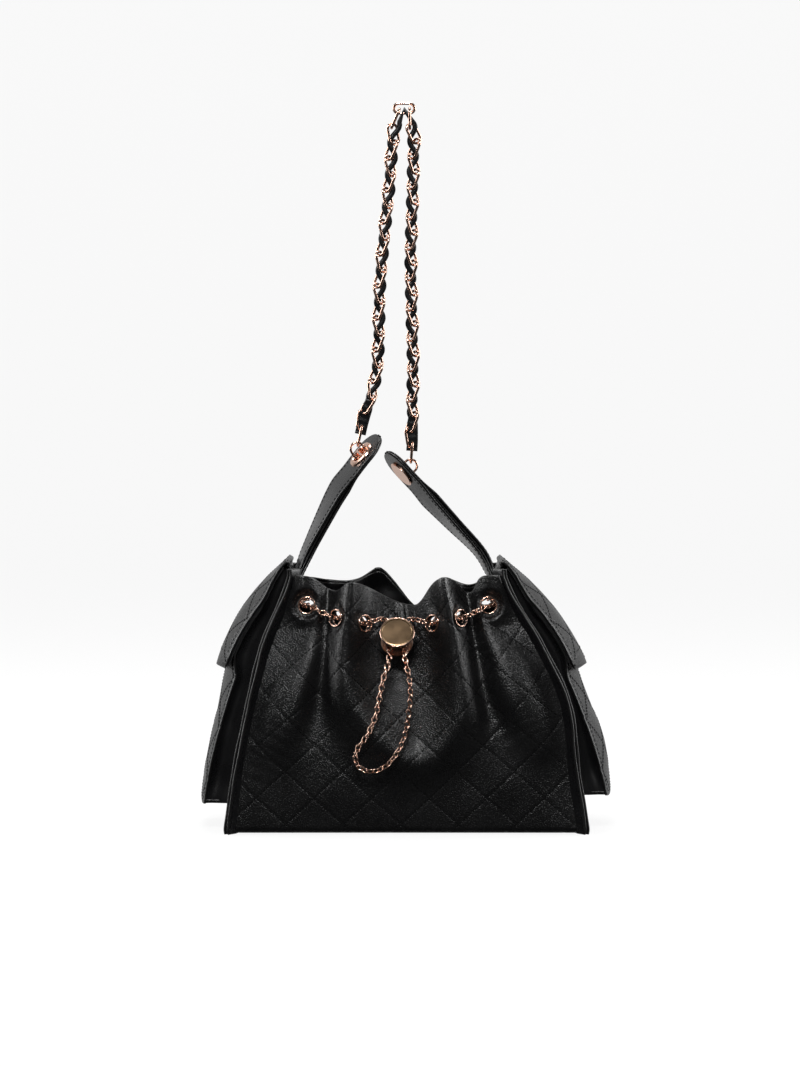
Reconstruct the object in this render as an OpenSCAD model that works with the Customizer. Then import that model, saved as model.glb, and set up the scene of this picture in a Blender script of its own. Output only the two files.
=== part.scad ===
// Bucket bag of quilted leather: a gathered mouth with a chain drawstring and a
// sliding toggle, two gusseted side pockets with flaps, two leather arms that
// lean together over the mouth, and a shoulder chain with a leather lace.
// The bag stands on z = 0 with its front towards -Y.

/* [Bag body] */
// Width across the base, seam to seam
base_w = 290; // [260:1:310]
// Depth across the base, seam to seam
base_d = 136; // [120:1:150]
// Height of the rim where the side seams end
rim_h = 214; // [200:1:230]
// Width of the gathered mouth, seam to seam
mouth_w = 184; // [170:1:200]
// Depth of the gathered mouth, seam to seam
mouth_d = 92; // [84:1:100]
// How far the slouching bag leans to its left at the rim
lean = 9; // [0:1:10]
// Thickness of the outer leather
leather_t = 2.4; // [1.6:0.1:2.6]
// How far the front and back bulge at half height
belly = 9; // [4:1:12]
// How far the sides bulge at half height
side_bulge = 12; // [8:1:14]
// How far the arms draw the sides in at the rim
side_tuck = 11; // [8:1:12]

/* [Gathers] */
// Height of the two gathered folds at the rim
pleat_h = 20; // [12:1:22]
// Half-width of a fold
pleat_r = 12; // [10:1:14]
// Distance of each fold from the middle
pleat_x = 40; // [36:1:44]
// How far the middle is drawn in between the folds
centre_tuck = 7; // [4:1:8]

/* [Side pockets] */
// Width of a pocket along the side
pocket_w = 92; // [80:1:96]
// Height of the pocket's bottom
pocket_base = 24; // [20:1:30]
// Height of the pocket's open top
pocket_top = 203; // [180:1:204]
// Half-width of the bag across the bottoms of the pockets
pocket_reach = 170; // [166:1:174]
// Width of a flap
flap_w = 98; // [90:1:100]
// How far a flap curves out from straight
flap_sag = 8.5; // [6:0.5:10]

/* [Arms] */
// Width of the leather arms
arm_w = 36; // [34:1:40]
// Width of an arm where it is sewn to the side
arm_foot_w = 72; // [60:1:76]
// Thickness of each of an arm's two layers
arm_t = 2.1; // [1.8:0.1:2.2]
// Twist of the left arm at its tip, in degrees
left_twist = 20; // [0:1:24]
// Twist of the right arm at its tip, in degrees
right_twist = 17; // [0:1:24]
// Outer diameter of the arm eyelets
arm_eyelet_d = 25; // [24:0.5:26]
// Hole in the arm eyelets
arm_hole_d = 15.4; // [15:0.1:16]

/* [Shoulder chain] */
// Length of a link over its wire
link_l = 19.8; // [19.4:0.1:20.2]
// Width of a link over its wire
link_w = 10.7; // [10.4:0.1:11]
// Diameter of the link wire
link_wire = 2.4; // [2.2:0.1:2.5]
// Diameter of the lace in the chain
lace_d = 4.6; // [4:0.1:5]
// Diameter of the end ring wire
ring_wire = 2; // [1.8:0.1:2.2]

/* [Drawstring] */
// Outer diameter of the rim eyelets
eyelet_d = 16; // [15:0.5:17]
// Hole in the rim eyelets
eyelet_hole = 8.6; // [8:0.1:9]
// Width of the drawstring chain
cord_d = 4; // [3.6:0.1:4]
// Diameter of the toggle's front disc
disc_d = 28.5; // [27:0.5:30]
// Diameter of the toggle's barrel
barrel_d = 22.4; // [22:0.2:23]
// How far apart the toggle's two holes are
hole_gap = 13; // [12.6:0.1:13.2]

/* [Hidden] */
$fn = 48;
LEFT = -1;
RIGHT = 1;
FRONT = -1;
BACK = 1;
COLUMNS = 36;
ROWS = 9;
SIDE_COLUMNS = 10;
CLEAR = 0.3;
black = [0.06, 0.06, 0.065];
lining_black = [0.1, 0.1, 0.1];
gold = [0.8, 0.56, 0.42];

base_t = 2.6;
panel_base = base_t + CLEAR;
board_t = 2.4;
facing_t = 1.4;
facing_base = 151;
lining_top = 149;
lining_t = 0.9;

// Rim eyelets of one side of the front: distance from the middle, and height
eyelet_places = [[28, 175], [52, 179.5], [76, 189.5]];

// Centre lines of the arms from foot to tip, x and z
left_arm_line = [[-99, 194], [-92, 213], [-84, 232], [-73, 255], [-58, 284], [-42, 307], [-23, 330]];
right_arm_line = [[81, 194], [72, 213], [62, 232], [40, 255], [18, 278], [-1, 298], [-17, 316]];
arm_steps = 12;
tip_steps = 5;
hardware_back = 22;
arm_spread = 1.7;
strap_t = 2 * arm_t + 0.1;

// Shoulder chain between the end rings, x and z
left_leg = [[-37, 341], [-31, 362], [-26, 383], [-24, 410], [-23, 456], [-19, 503], [-15, 541],
            [-12, 580], [-8.2, 598]];
right_leg = [[5, 326], [5, 350], [6, 388], [5, 430], [4, 481], [5, 515], [6, 552], [6.5, 580],
             [3.8, 598]];
top_link = [-2, 606.5];
link_pitch = 12.9;
link_sway = 2.2;
left_ring_way = [-0.5, 0, 0.87];
right_ring_way = [0.75, 0, 0.66];
ring_l = 14;
ring_w = 11;
ring_back = 3.7;
bar_d = 2.4;

// Middle of the toggle's two holes, and the way that the strands run through them
toggle_place = [-8, -68, 162.5];
strand_way = [0, -0.6, -0.8];

// Drawstring chain: from the left inner eyelet through the toggle, round the
// hanging loop and back up to the right inner eyelet
loop_route = [
  [-40, -54, 174.5], [-34.5, -60, 175], [-30, -63.5, 176.5], [-22.5, -61.5, 178.5], [-17, -58, 177.5],
  [-14.5, -60.8, 172.1], [-14.5, -68, 162.5], [-14.5, -74.6, 153.7], [-14.5, -79.4, 147.3],
  [-16, -82.5, 140], [-19, -83, 131], [-21, -83, 122], [-23, -83, 112], [-25, -83, 102],
  [-28.5, -83, 92], [-33, -83, 83], [-39, -83, 75], [-42.5, -83, 66], [-40, -83, 58], [-32, -83, 54],
  [-23, -83, 55], [-15, -83, 60], [-8, -83, 69], [-3, -83, 79], [0, -83, 90], [1.5, -83, 101],
  [3, -83, 112], [3, -83, 122], [2, -83, 131], [0, -82.5, 140],
  [-1.5, -79.4, 147.3], [-1.5, -74.6, 153.7], [-1.5, -68, 162.5], [-1.5, -60.8, 172.1],
  [1, -58, 177.5], [7, -61.5, 178.5], [15, -63.5, 176.5], [21, -60, 175], [26.5, -54, 174.5]];
// From the left inner eyelet of the front round the left of the mouth to that of the back
left_route = [
  [-40, -54, 174.5], [-47, -52, 176.5], [-54, -54, 178.5], [-59, -59, 179.5], [-63, -61.5, 181],
  [-70, -60, 184], [-78, -56.5, 188], [-83, -51, 189.5], [-86, -42, 189], [-90, -28, 189],
  [-91, -10, 189], [-91, 10, 189], [-90, 28, 189], [-86, 42, 189], [-83, 51, 189.5],
  [-78, 56.5, 188], [-70, 60, 184], [-63, 61.5, 181], [-59, 59, 179.5], [-54, 54, 178.5],
  [-47, 52, 176.5], [-40, 54, 174.5]];
// Middle between the two sides' inner eyelets
mouth_mid_x = -6.75;
// Across the middle of the back, outside it
back_route = [
  [-40, 54, 174.5], [-34.5, 60, 175], [-30, 63.5, 176], [-20, 60.5, 176.5], [-7, 57, 177],
  [6, 60.5, 176.5], [16, 63.5, 176], [21, 60, 175], [26.5, 54, 174.5]];

// ---- Vectors and lists ----

function unit(v) = v / norm(v);
function flat(lists) = [for (l = lists) for (p = l) p];
function bell(x, c, r) = exp(-pow((x - c) / r, 2));
function space(p) = [p[0], 0, p[1]];
function mix(a, b, t) = a * (1 - t) + b * t;

// Point on a smooth curve through four points, between the middle two
function curve_point(a, b, c, d, t) =
  (2 * b + (c - a) * t + (2 * a - 5 * b + 4 * c - d) * t * t
   + (3 * b - a - 3 * c + d) * t * t * t) / 2;

// Smooth curve through a list of points, with so many steps between each two
function smooth(pts, steps) = let (n = len(pts)) [
  for (i = [0:n - 2], k = [0:steps - 1])
    curve_point(pts[max(i - 1, 0)], pts[i], pts[i + 1], pts[min(i + 2, n - 1)], k / steps),
  pts[n - 1]
];

// Length of a polyline, and the point at a distance along it
function length(pts, i = 0) =
  i > len(pts) - 2 ? 0 : norm(pts[i + 1] - pts[i]) + length(pts, i + 1);
function along(pts, d, i = 0) =
  let (step = norm(pts[i + 1] - pts[i]))
  (i == len(pts) - 2 || d <= step)
    ? mix(pts[i], pts[i + 1], d / step)
    : along(pts, d - step, i + 1);
function heading(pts, d) = unit(along(pts, d + 2) - along(pts, d - 2));

// ---- Closed solids from lists of points ----

function quad(a, b, c, d) = [[a, b, c], [a, c, d]];

// A sheet between two grids of points. Seen from outside, columns run right, rows run up
module sheet(outer, inner) {
  m = len(outer);
  n = len(outer[0]);
  q = m * n;
  skins = [for (i = [0:m - 2], j = [0:n - 2]) each concat(
    quad(i*n + j, i*n + j + 1, (i + 1)*n + j + 1, (i + 1)*n + j),
    quad(q + i*n + j, q + (i + 1)*n + j, q + (i + 1)*n + j + 1, q + i*n + j + 1))];
  ends = [for (i = [0:m - 2]) each concat(
    quad(i*n, (i + 1)*n, q + (i + 1)*n, q + i*n),
    quad((i + 2)*n - 1, (i + 1)*n - 1, q + (i + 1)*n - 1, q + (i + 2)*n - 1))];
  sides = [for (j = [0:n - 2]) each concat(
    quad(j + 1, j, q + j, q + j + 1),
    quad(q - n + j, q - n + j + 1, 2*q - n + j + 1, 2*q - n + j))];
  polyhedron(concat(flat(outer), flat(inner)), concat(skins, ends, sides));
}

// A solid through closed outlines that turn right-handed about its path
module loft(outlines) {
  m = len(outlines);
  n = len(outlines[0]);
  walls = [for (i = [0:m - 2], j = [0:n - 1]) each quad(
    i*n + j, (i + 1)*n + j, (i + 1)*n + (j + 1) % n, i*n + (j + 1) % n)];
  first = [for (j = [0:n - 1]) j];
  last = [for (j = [n - 1:-1:0]) (m - 1)*n + j];
  polyhedron(flat(outlines), concat(walls, [first, last]));
}

// Path direction at point i of a route
function way(route, i) = unit(route[min(i + 1, len(route) - 1)] - route[max(i - 1, 0)]);

// A round cord along a route. "over" is a direction that the route never takes
module cord(route, d, over, sides = 8) {
  loft([for (i = [0:len(route) - 1]) let (
      t = way(route, i),
      a = unit(cross(over, t)),
      b = cross(t, a))
    [for (k = [0:sides - 1]) route[i] + d/2 * (cos(360*k/sides)*a + sin(360*k/sides)*b)]]);
}

// Puts children in a frame with the given place, x axis and z axis
module in_frame(c, x, z) {
  y = cross(z, x);
  multmatrix([[x[0], y[0], z[0], c[0]], [x[1], y[1], z[1], c[1]],
              [x[2], y[2], z[2], c[2]], [0, 0, 0, 1]])
    children();
}

// ---- Shape of the bag ----

function mid_x(z) = -lean * pow(z / rim_h, 1.5);
function half_w(z) = base_w/2 - (base_w - mouth_w)/2 * pow(z / rim_h, 1.35);
function half_d(z) = base_d/2 - (base_d - mouth_d)/2 * pow(z / rim_h, 1.2);
function bulge(z) = sin(min(180, 180 * z / rim_h));
function gather(z) = pow(max(0, (z - 70) / (rim_h - 70)), 1.2);

// How far the front lies out from the middle plane at x from the middle
function front_out(x, z) =
  half_d(z) + belly * bulge(z) * (1 - pow(x / half_w(z), 2))
  + gather(z) * (pleat_h * (bell(x, pleat_x, pleat_r) + bell(x, -pleat_x, pleat_r))
                 - centre_tuck * bell(x, 0, 18));
function rim_z(x) =
  rim_h - 26 * bell(x, 0, 20) - 15 * (bell(x, 51, 9) + bell(x, -51, 9));

// How far the side lies out from the middle at y from the middle
function side_out(y, z) =
  half_w(z) + (side_bulge * bulge(z) - side_tuck * pow(z / rim_h, 4))
  * (1 - pow(y / half_d(z), 2));

// Point of the front (face -1) or back (1), "in" millimetres inside the outer surface
function front_point(face, u, z, in) =
  let (x = u * (half_w(z) - 0.2))
  [-face * x + mid_x(z), face * (front_out(x, z) - in), z];
function side_point(side, v, z, in) =
  let (y = v * (half_d(z) - leather_t - CLEAR))
  [side * (side_out(y, z) - in) + mid_x(z), side * y, z];

function front_grid(face, low, in, top_drop, reach = 1) = [
  for (i = [0:COLUMNS]) let (u = (2*i/COLUMNS - 1) * reach)
    [for (j = [0:ROWS]) let (top = rim_z(u * half_w(rim_h)) - top_drop)
      front_point(face, u, low + (top - low) * j / ROWS, in)]
];
function side_grid(side, in) = [
  for (i = [0:SIDE_COLUMNS]) let (v = 2*i/SIDE_COLUMNS - 1)
    [for (j = [0:ROWS]) side_point(side, v, panel_base + (rim_h - panel_base) * j / ROWS, in)]
];

// ---- Bag body ----

module main_panel(face) {
  color(black) sheet(front_grid(face, panel_base, 0, 0), front_grid(face, panel_base, leather_t, 0));
}
module front_panel() { main_panel(FRONT); }
module back_panel() { main_panel(BACK); }

module side_panel(side) {
  color(black) sheet(side_grid(side, 0), side_grid(side, leather_t));
}
module left_side_panel() { side_panel(LEFT); }
module right_side_panel() { side_panel(RIGHT); }

module round_plate(w, d, r, h) {
  linear_extrude(h) {
    square([w - 2*r, d], center = true);
    square([w, d - 2*r], center = true);
    for (x = [-1, 1], y = [-1, 1]) translate([x * (w/2 - r), y * (d/2 - r)]) circle(r);
  }
}
module base_panel() {
  color(black) round_plate(base_w - 2, base_d - 2, 12, base_t);
}
module base_board() {
  color("dimgray") translate([0, 0, panel_base]) round_plate(base_w - 16, base_d - 16, 10, board_t);
}

// Level outline of the bag, "in" millimetres inside the outer surface
function level(z, in) = let (
    front = [for (i = [0:14]) front_point(FRONT, (i/7 - 1) * 0.94, z, in)],
    right = [for (i = [0:6]) side_point(RIGHT, (i/3 - 1) * 0.9, z, in)])
  concat(front, right,
    [for (i = [0:14]) front_point(BACK, (i/7 - 1) * 0.94, z, in)],
    [for (i = [0:6]) side_point(LEFT, (i/3 - 1) * 0.9, z, in)]);
module lining() {
  low = panel_base + board_t + 0.4;
  in = leather_t + 0.6;
  heights = [for (k = [0:5]) low + (lining_top - low) * k / 5];
  color(lining_black) loft(concat(
    [for (z = heights) level(z, in)],
    [for (k = [5:-1:0]) level(max(heights[k], low + lining_t), in + lining_t)]));
}

module facing(face) {
  in = leather_t + CLEAR;
  color(black) sheet(front_grid(face, facing_base, in, 1, 0.95),
                     front_grid(face, facing_base, in + facing_t, 1, 0.95));
}
module front_facing() { facing(FRONT); }
module back_facing() { facing(BACK); }

// Raised seam where the front or back meets a side, its two layers turned outwards
seam_l = 7;
seam_t = 5;
function seam_outline(face, side, z) = let (
    corner = [side * half_w(z) + mid_x(z), face * half_d(z), z],
    out = unit([side, face, 0]),
    across = [-out[1], out[0], 0])
  [for (p = [[0.6, -1], [seam_l, -1], [seam_l, 1], [0.6, 1]])
    corner + out * p[0] + across * p[1] * seam_t / 2];
module seam(face, side) {
  top = rim_h - 1;
  color(black) loft([for (k = [0:10]) seam_outline(face, side, 1 + (top - 1) * k / 10)]);
}
module front_left_seam() { seam(FRONT, LEFT); }
module front_right_seam() { seam(FRONT, RIGHT); }
module back_left_seam() { seam(BACK, LEFT); }
module back_right_seam() { seam(BACK, RIGHT); }

// ---- Rim eyelets ----

// A grommet along z, with its outer flange's underside at z = 0
module grommet(d, hole, through, flange_t) {
  wall = 0.9;
  rotate_extrude() polygon([
    [hole/2, -through - flange_t], [d/2 - 1.5, -through - flange_t], [d/2 - 1.5, -through],
    [hole/2 + wall, -through], [hole/2 + wall, 0], [d/2, 0], [d/2 - 0.6, flange_t * 0.75],
    [d/2 - 2, flange_t], [hole/2 + 0.5, flange_t], [hole/2, flange_t * 0.6]]);
}
function eyelet_at(face, side, place) = let (x = side * place[0])
  [x + mid_x(place[1]), face * front_out(x, place[1]), place[1]];
// Outward direction of the front or back leather at x from the middle
function front_normal(face, x, z) = let (
    dx = (front_out(x + 1, z) - front_out(x - 1, z)) / 2,
    dz = (front_out(x, z + 1) - front_out(x, z - 1)) / 2)
  unit([-dx, face, -dz]);
module rim_eyelets(face) {
  through = leather_t + CLEAR + facing_t;
  color(gold) for (side = [LEFT, RIGHT], place = eyelet_places) {
    z = front_normal(face, side * place[0], place[1]);
    in_frame(eyelet_at(face, side, place), unit(cross([0, 0, 1], z)), z)
      grommet(eyelet_d, eyelet_hole, through, 1.2);
  }
}
module front_eyelets() { rim_eyelets(FRONT); }
module back_eyelets() { rim_eyelets(BACK); }

// ---- Side pockets ----

function pocket_edge(z) =
  pocket_reach - 61 * pow(max(0, z - 20) / 180, 1.4);
function pocket_bulge(z) =
  lookup(z, [[24, 4], [58, 5.5], [100, 7], [135, 11.5], [150, 11], [166, 7], [188, 2]]);
function pocket_point(side, v, z, in) =
  [side * (pocket_edge(z) + pocket_bulge(z) * (1 - v*v) - in) + mid_x(z), side * v * pocket_w/2, z];
function pocket_grid(side, in) = [
  for (i = [0:SIDE_COLUMNS]) let (v = 2*i/SIDE_COLUMNS - 1)
    [for (j = [0:ROWS])
      pocket_point(side, v, pocket_base + (pocket_top - pocket_base) * j / ROWS, in)]
];
module pocket_face(side) {
  color(black) sheet(pocket_grid(side, 0), pocket_grid(side, leather_t));
}
module left_pocket_face() { pocket_face(LEFT); }
module right_pocket_face() { pocket_face(RIGHT); }

// Gusset: a wall at each end of the pocket and one along its bottom
gusset_t = 1.8;
module pocket_gusset(side) {
  wall_y = pocket_w/2 - 0.2 - gusset_t;
  zs = [for (k = [0:8]) pocket_base + (pocket_top - 4 - pocket_base) * k / 8];
  inner = [for (z = zs) [side * (side_out(wall_y, z) + 0.6) + mid_x(z), z]];
  outer = [for (k = [8:-1:0])
    [side * (pocket_edge(zs[k]) - leather_t - 0.4) + mid_x(zs[k]), zs[k]]];
  low = pocket_base;
  floor_in = side_out(0, low + gusset_t) + 0.6;
  vs = [for (k = [0:8]) k/4 - 1];
  color(black) {
    for (y = [-wall_y, wall_y + gusset_t])
      translate([0, y, 0]) rotate([90, 0, 0]) linear_extrude(gusset_t) polygon(concat(inner, outer));
    translate([mid_x(low), 0, low]) linear_extrude(gusset_t) polygon(concat(
      [[side * floor_in, -wall_y - 0.5], [side * floor_in, wall_y + 0.5]],
      [for (v = vs) [side * (pocket_edge(low) + pocket_bulge(low) * (1 - v*v) - leather_t - 0.6),
                     -v * (wall_y + 0.5)]]));
  }
}
module left_pocket_gusset() { pocket_gusset(LEFT); }
module right_pocket_gusset() { pocket_gusset(RIGHT); }

// ---- Flaps: a part of a cylinder about a line along Y ----

flap_root = [91.5, 226];
flap_tip = [157, 138];
flap_t = 2.2;
flap_lining_t = 1.2;
function flap_end(side, p) = [p[0] + side * mid_x(p[1]), p[1]];
function flap_chord(side) = flap_end(side, flap_tip) - flap_end(side, flap_root);
function flap_radius(side) =
  (pow(norm(flap_chord(side)) / 2, 2) + flap_sag * flap_sag) / (2 * flap_sag);
function flap_centre(side) = let (c = unit(flap_chord(side)))
  (flap_end(side, flap_root) + flap_end(side, flap_tip)) / 2
  - (flap_radius(side) - flap_sag) * [-c[1], c[0]];
function flap_angle(side, p) = let (v = flap_end(side, p) - flap_centre(side)) atan2(v[1], v[0]);

// Children are drawn on the right-hand side of a bag and mirrored for the left
module on_side(side) {
  if (side == LEFT) mirror([1, 0, 0]) children();
  else children();
}
module flap_layer(side, in, t, w) {
  c = flap_centre(side);
  from = flap_angle(side, flap_tip);
  on_side(side) translate([c[0], 0, c[1]]) rotate([90, 0, 0]) rotate([0, 0, from])
    rotate_extrude(angle = flap_angle(side, flap_root) - from, $fn = 96)
      translate([flap_radius(side) - in - t, -w/2]) square([t, w]);
}
module left_flap() { color(black) flap_layer(LEFT, 0, flap_t, flap_w); }
module right_flap() { color(black) flap_layer(RIGHT, 0, flap_t, flap_w); }
module left_flap_lining() { color(lining_black) flap_layer(LEFT, flap_t, flap_lining_t, flap_w - 6); }
module right_flap_lining() { color(lining_black) flap_layer(RIGHT, flap_t, flap_lining_t, flap_w - 6); }

// Strip of leather sewn along the top of each side, which the flap hangs from
flap_base_x = 86.6;
flap_base_w = 82;
module flap_base(side) {
  h = 20;
  color(black) translate([side * flap_base_x + mid_x(flap_root[1]), 0, flap_root[1] - h/2])
    cube([1.8, flap_base_w, h], center = true);
}
module left_flap_base() { flap_base(LEFT); }
module right_flap_base() { flap_base(RIGHT); }

// Magnetic snap: its stud is under the flap, its socket on the pocket
snap_z = 154;
snap_d = 14;
stud_t = 1.8;
module snap_place(side, depth) {
  c = flap_centre(side);
  r = flap_radius(side) - flap_t - flap_lining_t;
  a = asin((snap_z - c[1]) / r);
  on_side(side) translate([c[0], 0, c[1]]) rotate([0, 90 - a, 0]) translate([0, 0, r - depth]) children();
}
socket_l = 6;
module snap_stud(side) { color(gold) snap_place(side, stud_t) cylinder(h = stud_t, d = snap_d); }
module snap_socket(side) {
  color(gold) snap_place(side, stud_t + CLEAR + socket_l) cylinder(h = socket_l, d = snap_d);
}
module left_snap_stud() { snap_stud(LEFT); }
module right_snap_stud() { snap_stud(RIGHT); }
module left_snap_socket() { snap_socket(LEFT); }
module right_snap_socket() { snap_socket(RIGHT); }

// ---- Arms: two layers of leather, sewn through the top of each side ----

function arm_path(side) =
  smooth([for (p = side == LEFT ? left_arm_line : right_arm_line) space(p)], 4);
function arm_twist(side) = side == LEFT ? left_twist : right_twist;
// Across the strap, and out of the face that turns to the left of the bag
function arm_across(side, t, share) = let (a = arm_twist(side) * share, y = [0, 1, 0])
  cos(a) * y + sin(a) * cross(t, y);
function arm_width(d) = arm_w + (arm_foot_w - arm_w) * pow(max(0, 1 - d / 50), 2);
function arm_outline(side, layer, d, w, total) = let (
    path = arm_path(side),
    c = along(path, d),
    t = heading(path, d),
    across = arm_across(side, t, min(1, d / total * 1.5)),
    up = cross(t, across),
    spread = arm_spread * max(0, 1 - d / 34),
    near = (0.05 + spread) * layer,
    far = (0.05 + spread + arm_t) * layer)
  layer > 0
    ? [c + across*w/2 + up*near, c + across*w/2 + up*far, c - across*w/2 + up*far, c - across*w/2 + up*near]
    : [c + across*w/2 + up*far, c + across*w/2 + up*near, c - across*w/2 + up*near, c - across*w/2 + up*far];
module arm_layer(side, layer) {
  total = length(arm_path(side));
  straight = total - arm_w/2;
  color(black) difference() {
    loft(concat(
      [for (k = [0:arm_steps]) let (d = straight * k / arm_steps)
        arm_outline(side, layer, d, arm_width(d), total)],
      [for (k = [1:tip_steps]) let (a = 82 * k / tip_steps)
        arm_outline(side, layer, straight + arm_w/2 * sin(a), arm_w * cos(a), total)]));
    at_tip(side) cylinder(h = 3 * strap_t, d = arm_hole_d + 2.2, center = true);
  }
}
module left_arm_outer() { arm_layer(LEFT, 1); }
module left_arm_inner() { arm_layer(LEFT, -1); }
module right_arm_outer() { arm_layer(RIGHT, -1); }
module right_arm_inner() { arm_layer(RIGHT, 1); }

// ---- Fittings at the tips of the arms ----

function tip_d(side) = length(arm_path(side)) - hardware_back;
function tip_place(side) = along(arm_path(side), tip_d(side));
function tip_way(side) = heading(arm_path(side), tip_d(side));
function tip_across(side) = arm_across(side, tip_way(side), 1);
function tip_out(side) = cross(tip_way(side), tip_across(side)) * -side;
bar_h = strap_t/2 + 1.1;
function bar_place(side) = tip_place(side) + tip_out(side) * bar_h;
module at_tip(side) { in_frame(tip_place(side), tip_way(side), tip_out(side)) children(); }

module arm_eyelet(side) {
  hole = arm_hole_d;
  color(gold) at_tip(side) rotate_extrude() polygon([
    [hole/2, -strap_t/2], [hole/2 + 1, -strap_t/2], [hole/2 + 1, strap_t/2],
    [arm_eyelet_d/2, strap_t/2], [arm_eyelet_d/2 - 0.7, strap_t/2 + 1.2],
    [arm_eyelet_d/2 - 2.4, strap_t/2 + 1.7], [hole/2 + 0.7, strap_t/2 + 1.7],
    [hole/2, strap_t/2 + 1.1]]);
}
module left_arm_eyelet() { arm_eyelet(LEFT); }
module right_arm_eyelet() { arm_eyelet(RIGHT); }

// Bar across the eyelet that carries the end ring
module arm_bar(side) {
  color(gold) in_frame(bar_place(side), tip_way(side), tip_across(side))
    cylinder(h = arm_hole_d + 0.8, d = bar_d, center = true);
}
module left_arm_bar() { arm_bar(LEFT); }
module right_arm_bar() { arm_bar(RIGHT); }

// Closed cap on the inner face of the arm
module arm_cap(side) {
  cap_t = 1.6;
  color(gold) at_tip(side) translate([0, 0, -strap_t/2 - cap_t]) {
    cylinder(h = cap_t, d = arm_eyelet_d - 3);
    translate([0, 0, 0.5]) cylinder(h = cap_t - 0.5, d = arm_eyelet_d - 1);
  }
}
module left_arm_cap() { arm_cap(LEFT); }
module right_arm_cap() { arm_cap(RIGHT); }

// An oval of round wire in the xy plane, long along x. Sizes are at the wire's middle
module oval(l, w, wire) {
  run = l - w;
  for (e = [-1, 1]) translate([e * run/2, 0, 0]) rotate([0, 0, -90 * e])
    rotate_extrude(angle = 180) translate([w/2, 0]) circle(d = wire);
  for (e = [-1, 1]) translate([0, e * w/2, 0]) rotate([0, 90, 0])
    cylinder(h = run, d = wire, center = true);
}
function ring_way(side) = unit(side == LEFT ? left_ring_way : right_ring_way);
// Point of the ring that the chain pulls on
function ring_top(side) = let (
    c = bar_place(side) + ring_way(side) * (ring_l - ring_back - ring_w/2),
    leg = side == LEFT ? left_leg : right_leg)
  c + ring_w/2 * unit(space(leg[0]) - [c[0], 0, c[2]]);
function ring_face(side) = let (r = ring_way(side), a = tip_across(side))
  unit(a - (a * r) * r);
module end_ring(side) {
  color(gold) in_frame(bar_place(side) + ring_way(side) * (ring_l/2 - ring_back),
                       ring_way(side), ring_face(side))
    oval(ring_l, ring_w, ring_wire);
}
module left_end_ring() { end_ring(LEFT); }
module right_end_ring() { end_ring(RIGHT); }

// ---- Shoulder chain ----

// Each leg runs up from its ring to the link below the top one
function leg_path(side) = smooth(concat(
  [ring_top(side)], [for (p = side == LEFT ? left_leg : right_leg) space(p)]), 4);
first_link = (link_l - link_wire)/2 - link_wire/2 - ring_wire/2 - 0.4;
function leg_run(side) = length(leg_path(side)) - first_link;
function link_count(side) = 2 * round(leg_run(side) / link_pitch / 2) + 1;
// The lace pushes the joints between links to the right and to the left in turn
function joint_sway(k, n) = (k < 1 || k >= n - 1) ? 0 : (k % 2 == 0 ? link_sway : -link_sway);
// Links lie face on to their neighbours at the ends of a leg, and turn by turns between
function link_turn(k, n) =
  (k == 0 || k == n - 1) ? 90 : (k == 1 || k == n - 2) ? 20 : (k % 2 == 0 ? -45 : 45);
module chain_link(c, t, turn) {
  face = cos(turn) * [0, 1, 0] + sin(turn) * cross(t, [0, 1, 0]);
  in_frame(c, t, face) oval(link_l - link_wire, link_w - link_wire, link_wire);
}
module leg_links(side) {
  path = leg_path(side);
  n = link_count(side);
  step = leg_run(side) / (n - 1);
  color(gold) for (k = [0:n - 1]) let (
      d = first_link + k * step,
      before = joint_sway(k - 1, n),
      after = joint_sway(k, n))
    chain_link(along(path, d) + [(before + after) / 2, 0, 0],
               unit(heading(path, d) * step + [after - before, 0, 0]), link_turn(k, n));
}
module left_chain_links() { leg_links(LEFT); }
module right_chain_links() { leg_links(RIGHT); }
module top_chain_link() { color(gold) chain_link(space(top_link), [1, 0, 0], 0); }

// The lace runs through the links, and a wider stitched end closes it at each ring
lace_end_l = 26;
lace_start = 9;
function reversed(list) = [for (i = [len(list) - 1:-1:0]) list[i]];
function lace_route(side, steps) = let (
    path = leg_path(side),
    run = length(path) - lace_start - lace_end_l)
  [for (k = [0:steps]) along(path, lace_start + lace_end_l + run * k / steps)];
module shoulder_lace() {
  color(black) cord(concat(lace_route(LEFT, 22), [space(top_link)], reversed(lace_route(RIGHT, 22))),
                    lace_d, [0, 1, 0]);
}
module lace_end(side) {
  a = along(leg_path(side), lace_start);
  b = along(leg_path(side), lace_start + lace_end_l);
  color(black) in_frame((a + b) / 2, unit(b - a), [0, 1, 0])
    cube([norm(b - a) - 0.1, 8, 3.4], center = true);
}
module left_lace_end() { lace_end(LEFT); }
module right_lace_end() { lace_end(RIGHT); }

// ---- Drawstring ----

function mirrored(route) = [for (p = route) [2 * mouth_mid_x - p[0], p[1], p[2]]];
module drawstring_loop() { color(gold) cord(loop_route, cord_d, [0, 1, 0.2]); }
module drawstring_left() { color(gold) cord(left_route, cord_d, [0, 0, 1]); }
module drawstring_right() { color(gold) cord(mirrored(left_route), cord_d, [0, 0, 1]); }
module drawstring_back() { color(gold) cord(back_route, cord_d, [0, 0, 1]); }

// ---- Toggle: its axis runs back from the disc, and its holes lie along the strands ----

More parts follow.
